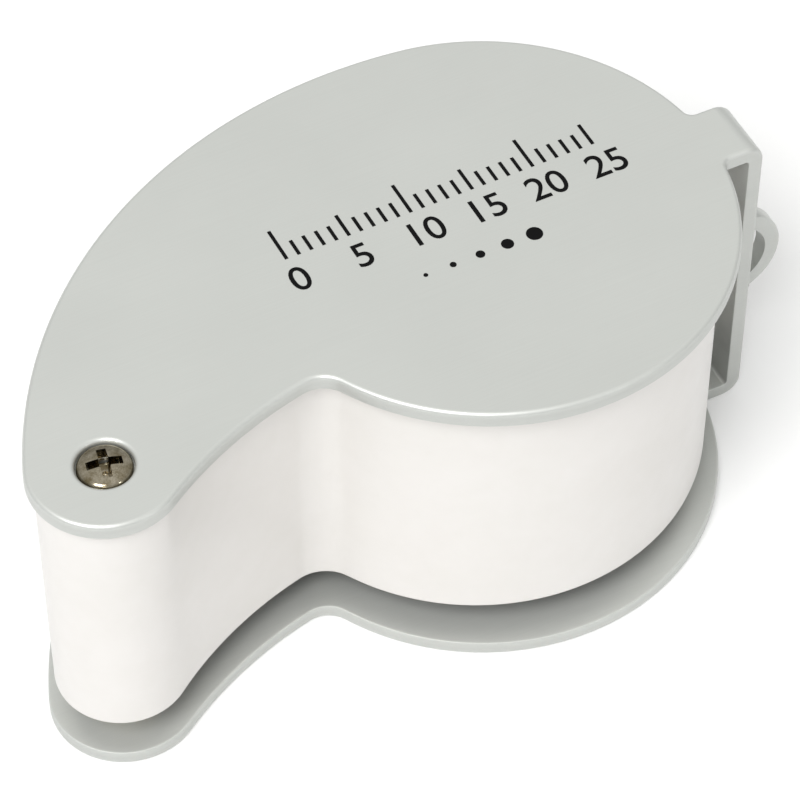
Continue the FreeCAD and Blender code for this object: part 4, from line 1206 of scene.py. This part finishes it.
@dataclass
class LensBody:
    """The swinging body: its white band, the moulded frame and the object side cover."""

    shape: Comma = Comma(17.75, 5.0, 38.2, 32.5, 3.0)
    wall: float = 1.2
    gap: float = 0.1
    face: float = 1.4
    sink: float = 0.2
    bore: float = 12.55
    barrel: float = 14.1
    stop_bore: float = 11.2
    rim_round: float = 0.3
    well: float = 6.6
    well_bore: float = 5.95
    pillars: tuple[tuple[float, float], ...] = ((-15.6, 12.9), (-28.4, 1.6))
    pillar: float = 1.6
    boss: float = 3.25
    bush: float = 2.3
    sleeve: float = 4.0
    bezel: float = 0.55
    bezel_below: float = 0.5
    stop_high: float = 19.6
    stop_low: float = 10.75
    grooves: int = 12
    groove_deep: float = 0.32
    pillar_drill: float = 0.72
    screw_clear: float = 0.8
    lamp_hole: float = 1.6
    lamp_flare: float = 0.35
    ear_half: float = 1.9
    contact_slot: tuple[float, float] = (3.5, 2.6)
    contact_slots: tuple[float, float] = (1.2, 3.2)
    knob_slot: tuple[float, float, float] = (5.1, 9.0, 2.6)
    knob_travel: float = 2.0
    edge: float = 0.15
    # Added parts overlap by this much, so that they join.
    lap: float = 0.3
    low: float = field(init=False)
    high: float = field(init=False)

    def __post_init__(self) -> None:
        """Reads the body's height from the frame."""
        self.low, self.high = level("housing_band")

    def band(self) -> Mesh:
        """The wall with its rounded rims and the slot for the switch knob."""
        skin = self.shape.outline(self.low)
        extruded(skin, skin.edges[:], self.high - self.low)
        face_outwards(skin, Vector((1.0, 0.0, 0.0)))
        mesh = walled(skin, self.wall)
        rim_rounded(mesh, Rim.OUTER, self.rim_round, 4)
        rim_rounded(mesh, Rim.INNER, 0.12, 2)
        knob = middle("switch_knob")
        centre = (knob.x + self.knob_travel / 2, knob.y, knob.z)
        slot = softened(block(self.knob_slot, centre), 0.45, 4)
        return joined(mesh, Join.CUT, slot)

    def plate(self, low: float, high: float) -> Mesh:
        """A plate that fills the band between two heights."""
        inner = self.shape.inset(self.wall + self.gap)
        return softened(raised(inner.outline(low), low, high), self.edge, 2)

    def frame_moulding(self) -> Mesh:
        """The frame: face, bezel, barrel and stop, battery well, pillars and pivot boss."""
        top = self.high - self.sink
        under = top - self.face
        inside = self.low + self.sink + self.face
        plate = self.plate(under, top)
        well = middle("button_cells")
        seat = level("eye_retaining_ring")
        bore_tool = turned(
            (0, under - PAST), (self.bore, under - PAST), (self.bore, top - self.bezel),
            (self.bore + self.bezel, top), (self.bore + self.bezel, top + PAST), (0, top + PAST),
        )
        plate = joined(plate, Join.CUT, bore_tool, rod(self.bush, under - PAST, top + PAST, PIVOT))
        roof_lap = under + self.lap
        barrel = turned(
            (self.bore, inside), (self.barrel, inside), (self.barrel, roof_lap),
            (self.bore, roof_lap), (self.bore, self.stop_high), (self.stop_bore, self.stop_high),
            *self.baffle(self.stop_high - 0.3, self.stop_low + 0.35),
            (self.stop_bore, self.stop_low), (self.bore, self.stop_low), (self.bore, inside),
        )
        low = inside + 0.03
        added = [barrel, rod(self.well, low, roof_lap, well.xy)]
        added += [rod(self.pillar, low, roof_lap, at, 40) for at in self.pillars]
        added.append(tube(self.bush, self.boss, under - self.sleeve, roof_lap, PIVOT))
        mesh = joined(plate, Join.ADD, *added)
        roof = level("battery_contact_upper")[1] + self.gap
        cuts = [rod(self.well_bore, self.low - PAST, roof, well.xy)]
        cuts.append(rod(self.bore, inside - PAST, self.stop_low))
        cuts.append(rod(self.bore, self.stop_high, seat[1] - 0.5))
        cuts += [rod(self.pillar_drill, inside - PAST, inside + 7, at, 32) for at in self.pillars]
        upper_tall, lower_tall = self.contact_slots
        for angle, tall, low in (
            (60.0, upper_tall, roof - upper_tall),
            (-12.0, lower_tall, self.low),
        ):
            centre = (*around(angle, self.well_bore - 0.2, well), low + tall / 2)
            cuts.append(block((*self.contact_slot, tall), centre, angle))
        return joined(mesh, Join.CUT, *cuts)

    def baffle(self, high: float, low: float) -> list[Move]:
        """The steps of the anti-glare grooves down the stop's bore.

        Args:
            high: Where they start.
            low: Where they end.

        Returns:
            The moves of the section.
        """
        pitch = (high - low) / self.grooves
        moves: list[Move] = [(self.stop_bore, high)]
        for number in range(self.grooves):
            z = high - number * pitch
            bottom = (self.stop_bore + self.groove_deep, z - pitch / 2)
            moves += [bottom, (self.stop_bore, z - pitch)]
        return moves

    def ear(self, allowance: float, low: float, high: float) -> Mesh:
        """The battery door's ear, wider by an allowance."""
        start, end = middle("button_cells").xy, Vector(self.pillars[1])
        out = (end - start).normalized()
        half = self.ear_half + allowance
        near, far = start + out * 4, end + out * half
        centre = (near + far) / 2
        size = ((far - near).length, 2 * half, high - low)
        return block(size, (*centre, (low + high) / 2), math.degrees(math.atan2(out.y, out.x)))

    def side_cover(self) -> Mesh:
        """The cover on the object side."""
        low = self.low + self.sink
        high = low + self.face
        plate = self.plate(low, high)
        well = middle("button_cells")
        below, above = low - PAST, high + PAST
        bezel = self.bezel_below
        bore_tool = turned(
            (0, below), (self.bore + bezel, below), (self.bore + bezel, low),
            (self.bore, low + bezel), (self.bore, above), (0, above),
        )
        cuts = [bore_tool, rod(self.bush, below, high + 6, PIVOT)]
        hole, flare = self.lamp_hole, self.lamp_hole + self.lamp_flare
        for angle in LAMP_ANGLES:
            at = around(angle, LAMP_RING)
            cuts.append(
                turned((0, below), (flare, below), (flare, low), (hole, low + self.lamp_flare),
                       (hole, above), (0, above), at=at, steps=48)
            )
        cuts.append(rod(self.screw_clear, below, above, self.pillars[0], 32))
        cuts.append(rod(self.well_bore + 0.3, below, above, well.xy))
        cuts.append(self.ear(0.2, below, above))
        plate = joined(plate, Join.CUT, *cuts)
        sleeve = tube(self.bush, self.boss, high - self.lap, high + self.sleeve, PIVOT)
        return joined(plate, Join.ADD, sleeve)

    def build(self) -> None:
        """Makes the band, the frame, the side cover and the two bushes."""
        for name, mesh, finish, slot, node in (
            ("white_band", self.band(), HOUSING, "housing_white", "housing_band"),
            ("moulded_frame", self.frame_moulding(), FRAME, "frame_black", "inner_frame"),
            ("side_cover", self.side_cover(), FRAME, "frame_black", "object_side_cover"),
        ):
            make_piece(name, mesh, Body.LENS, finish, slot, node)
        for name in ("upper", "lower"):
            node = f"{name}_pivot_bush"
            bush = softened(tube(FREE_BORE, self.bush, *level(node), PIVOT), 0.12)
            make_piece(f"{name}_brass_bush", bush, Body.LENS, BRASS, "brass_pivot", node)


@dataclass
class Optics:
    """The two lenses and the rings that hold them."""

    edge: float = 12.5
    curve: float = 30.0
    land: float = 0.12
    ring_bore: float = 11.3
    slot: tuple[float, float, float] = (1.9, 1.2, 1.3)

    def lens(self, node: str) -> Mesh:
        """A biconvex lens with a narrow bevel at its edge."""
        low, high = level(node)
        rim = self.edge - self.land
        half = math.degrees(math.asin(rim / self.curve))
        sag = self.curve - math.sqrt(self.curve**2 - rim**2)
        return turned(
            (0, low),
            Arc(0, low + self.curve, half),
            (self.edge, low + sag + self.land),
            (self.edge, high - sag - self.land),
            (rim, high - sag),
            Arc(0, high - self.curve, half),
        )

    def ring(self, node: str, top_side: bool) -> Mesh:
        """A threaded retaining ring with two spanner slots."""
        low, high = level(node)
        mesh = softened(tube(self.ring_bore, self.edge, low, high), 0.14)
        centre = high if top_side else low
        out = (self.ring_bore + self.edge) / 2
        tools = [block(self.slot, (side, 0, centre)) for side in (-out, out)]
        return joined(mesh, Join.CUT, *tools)

    def build(self) -> None:
        """Makes the lenses and rings."""
        for name in ("eye", "field"):
            node = f"{name}_lens"
            glass = self.lens(node)
            make_piece(f"{name}_glass", glass, Body.LENS, ACRYLIC, "optical_acrylic", node)
            node = f"{name}_retaining_ring"
            ring = self.ring(node, name == "eye")
            make_piece(f"{name}_spanner_ring", ring, Body.LENS, RING, "ring_black", node)


@dataclass
class Lighting:
    """The two lamps beside the lens, with what shows inside them."""

    radius: float = 1.5
    flange: float = 1.75
    low: float = field(init=False)
    high: float = field(init=False)

    def __post_init__(self) -> None:
        """Reads the lamps' height from the frame."""
        self.low, self.high = level("led_lamps")

    def each(self, build: Callable[[Vector], Mesh]) -> Mesh:
        """One mesh with the same part in each lamp."""
        whole = bmesh.new()
        for angle in LAMP_ANGLES:
            part = build(around(angle, LAMP_RING))
            data = bpy.data.meshes.new("part")
            part.to_mesh(data)
            whole.from_mesh(data)
            bpy.data.meshes.remove(data)
            part.free()
        return whole

    def bulb(self, at: Vector) -> Mesh:
        """The epoxy: dome, stem and flange."""
        shoulder = self.high - 0.8
        return turned(
            (0, self.low), Arc(0, self.low + self.radius, 90), (self.radius, shoulder),
            (self.flange, shoulder), (self.flange, self.high), (0, self.high), at=at, steps=48,
        )

    def cup(self, at: Vector) -> Mesh:
        """The reflector cup that faces down."""
        rim, floor, back = self.low + 1.9, self.low + 2.5, self.low + 3.3
        return turned(
            (0.32, floor), (0.62, rim), (0.72, rim), (0.5, back), (0, back), (0, floor),
            (0.32, floor), at=at, steps=32,
        )

    def die(self, at: Vector) -> Mesh:
        """The phosphor over the chip."""
        back = self.low + 2.48
        return turned(
            (0, self.low + 2.12), (0.4, self.low + 2.2), (0.28, back), (0, back), at=at, steps=24
        )

    def build(self) -> None:
        """Makes the lamps, and finishes their leads and board."""
        make_piece("lamp_bulbs", self.each(self.bulb), Body.LENS, EPOXY, "lamp_epoxy", "led_lamps")
        make_piece("lamp_cups", self.each(self.cup), Body.LENS, CUP, "tinned_lead")
        make_piece("lamp_dies", self.each(self.die), Body.LENS, PHOSPHOR, "lamp_epoxy")
        dress_node("led_leads", TIN)
        dress_node("lamp_board", BOARD)


@dataclass
class Power:
    """The button cells, contacts and wires, and the battery door with the two small screws."""

    lid: float = 6.1
    head: float = 1.3
    head_tall: float = 0.6
    thread: float = 0.7
    slot_wide: float = 0.35
    slot_turn: float = 32.0
    ridges: int = 5
    ridge_pitch: float = 0.7

    def door(self, body: LensBody) -> Mesh:
        """The door: a lid with an ear, finger ridges and a plus sign for the cells.

        Args:
            body: The lens body, whose ear shape it shares.

        Returns:
            The mesh.
        """
        low, high = level("battery_door")
        centre = middle("button_cells")
        lid = rod(self.lid, low, high, centre.xy, 96)
        mesh = softened(joined(lid, Join.ADD, body.ear(0.05, low, high)), 0.18, 3)
        cuts = [rod(body.screw_clear, low - PAST, high + PAST, body.pillars[1], 32)]
        cuts += [block((2.6, 0.5, 0.5), (centre.x, centre.y, low), turn) for turn in (0, 90)]
        for number in range(self.ridges):
            long = 5.2 - 0.5 * abs(number - self.ridges // 2)
            side = centre.y + 2.4 + self.ridge_pitch * number
            cuts.append(block((long, 0.35, 0.4), (centre.x, side, low)))
        return joined(mesh, Join.CUT, *cuts)

    def small_screw(self, node: str) -> Mesh:
        """A small slotted screw whose head faces down."""
        low, high = level(node)
        centre = middle(node)
        neck = low + self.head_tall
        blank = turned(
            (0, low), (self.head - 0.25, low), (self.head, low + 0.25), (self.head, neck),
            (self.thread, neck), (self.thread, high - 0.4), (0, high), at=centre, steps=48,
        )
        slot = block((3.2, self.slot_wide, 0.7), (centre.x, centre.y, low), self.slot_turn)
        return joined(blank, Join.CUT, slot)

    def build(self, body: LensBody) -> None:
        """Makes the door and screws, and finishes what is kept from the CAD.

        Args:
            body: The lens body.
        """
        make_piece("battery_lid", self.door(body), Body.LENS, DOOR, "door_black", "battery_door")
        for node, name in (
            ("object_cover_screw", "cover_screw"),
            ("battery_door_screw", "door_screw"),
        ):
            screw = self.small_screw(node)
            make_piece(name, screw, Body.LENS, SMALL_SCREW, "small_screw_black", node)
        for node, finish in (
            ("button_cells", CELL),
            ("battery_contact_upper", CONTACT),
            ("battery_contact_lower", CONTACT),
            ("wire_red", RED),
            ("wire_black", BLACK),
            ("wire_blue", BLUE),
        ):
            dress_node(node, finish)


@dataclass
class SlideSwitch:
    """The slide switch on the back of the band."""

    wide: float = 2.6
    tall: float = 2.2
    rib: float = 0.3

    def knob(self) -> Mesh:
        """The knob, ribbed across its outer end."""
        low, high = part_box("switch_knob")
        centre = middle("switch_knob")
        deep = ((high.y - low.y) / MM - self.wide * abs(SLIDE.y)) / abs(SLIDE.x)
        mesh = softened(block((self.wide, deep, self.tall), centre), 0.18, 3)
        face = centre.y + deep / 2
        size = (self.rib, 0.7, 4)
        grooves = [block(size, (centre.x + shift, face, centre.z)) for shift in (-0.6, 0.0, 0.6)]
        return joined(mesh, Join.CUT, *grooves)

    def build(self) -> None:
        """Makes the knob, and finishes the case and its board."""
        make_piece("ribbed_knob", self.knob(), Body.KNOB, KNOB, "knob_black", "switch_knob")
        dress_node("switch_case", SWITCH_STEEL)
        dress_node("switch_board", BOARD)


@dataclass
class Studio:
    """The floor, the lights and the camera."""

    azimuth: float = -41.109
    elevation: float = 49.644
    roll: float = 0.159
    distance: float = 281.14
    target: tuple[float, float, float] = (-7.115, 1.125, 12.0)
    focal: float = 169.776
    sensor: float = 36.0
    horizon: float = 0.4
    zenith: float = 0.78
    floor_size: float = 3.0

    def floor(self) -> None:
        """A wide sheet of white paper."""
        mesh = bmesh.new()
        bmesh.ops.create_grid(mesh, x_segments=4, y_segments=4, size=self.floor_size)
        data = bpy.data.meshes.new("studio_floor")
        mesh.to_mesh(data)
        mesh.free()
        data.materials.append(PAPER.make())
        placed("studio_floor", data)

    def light(self, name: str, at: tuple[float, float, float], size: float, watts: float) -> None:
        """A soft square light that faces the object.

        Args:
            name: Its name.
            at: Its place in metres.
            size: Its side in metres.
            watts: Its power.
        """
        data = bpy.data.lights.new(name, "AREA")
        data.size = size
        data.energy = watts
        lamp = placed(name, data)
        lamp.location = at
        lamp.rotation_mode = "QUATERNION"
        lamp.rotation_quaternion = (Vector(self.target) * MM - Vector(at)).to_track_quat("-Z", "Y")

    def sky(self) -> None:
        """A white surround that is brightest overhead."""
        world = bpy.data.worlds.new("studio_surround")
        world.use_nodes = True
        tree = world.node_tree
        tree.nodes.clear()
        direction = add_node(tree, "ShaderNodeTexCoord").outputs["Generated"]
        height = add_node(tree, "ShaderNodeSeparateXYZ", links={"Vector": direction}).outputs["Z"]
        strength = ranged(tree, height, (self.horizon, self.zenith))
        links = {"Color": blended(tree, height, "#F5F7F8", "#FFFFFC"), "Strength": strength}
        even = add_node(tree, "ShaderNodeBackground", links=links)
        add_node(tree, "ShaderNodeOutputWorld", links={"Surface": even.outputs[0]})
        bpy.context.scene.world = world

    def camera(self) -> None:
        """The camera, which looks down at the loupe from the front left."""
        angles = (self.azimuth, self.elevation, self.roll)
        azimuth, elevation, roll = (math.radians(angle) for angle in angles)
        back = Vector((
            math.sin(azimuth) * math.cos(elevation),
            -math.cos(azimuth) * math.cos(elevation),
            math.sin(elevation),
        ))
        right = Vector((math.cos(azimuth), math.sin(azimuth), 0))
        up = back.cross(right)
        across = math.cos(roll) * right + math.sin(roll) * up
        over = -math.sin(roll) * right + math.cos(roll) * up
        data = bpy.data.cameras.new("studio_camera")
        data.sensor_width = self.sensor
        data.lens = self.focal
        data.clip_start = 0.01
        data.clip_end = 20.0
        camera = placed("studio_camera", data)
        turn = Matrix((across, over, back)).transposed().to_4x4()
        place = (Vector(self.target) + self.distance * back) * MM
        camera.matrix_world = Matrix.Translation(place) @ turn
        bpy.context.scene.camera = camera

    def build(self) -> None:
        """Sets up the studio."""
        self.floor()
        self.sky()
        self.light("key_light", (-0.62, -0.25, 0.9), 0.5, 8.4)
        self.light("left_strip", (-0.55, -0.6, 0.5), 0.14, 0.5)
        self.light("right_strip", (0.25, -0.85, 0.5), 0.14, 0.5)
        self.camera()
        bpy.context.scene.view_settings.view_transform = "Standard"


def main() -> None:
    """Builds the loupe piece by piece, and then the studio."""
    logging.basicConfig(level=logging.INFO, format="%(name)s: %(message)s")
    FoldedCover().build()
    PrintedScale().build()
    PivotHardware().build()
    body = LensBody()
    body.build()
    Optics().build()
    Lighting().build()
    Power().build(body)
    SlideSwitch().build()
    Studio().build()


if __name__ == "__main__":
    main()
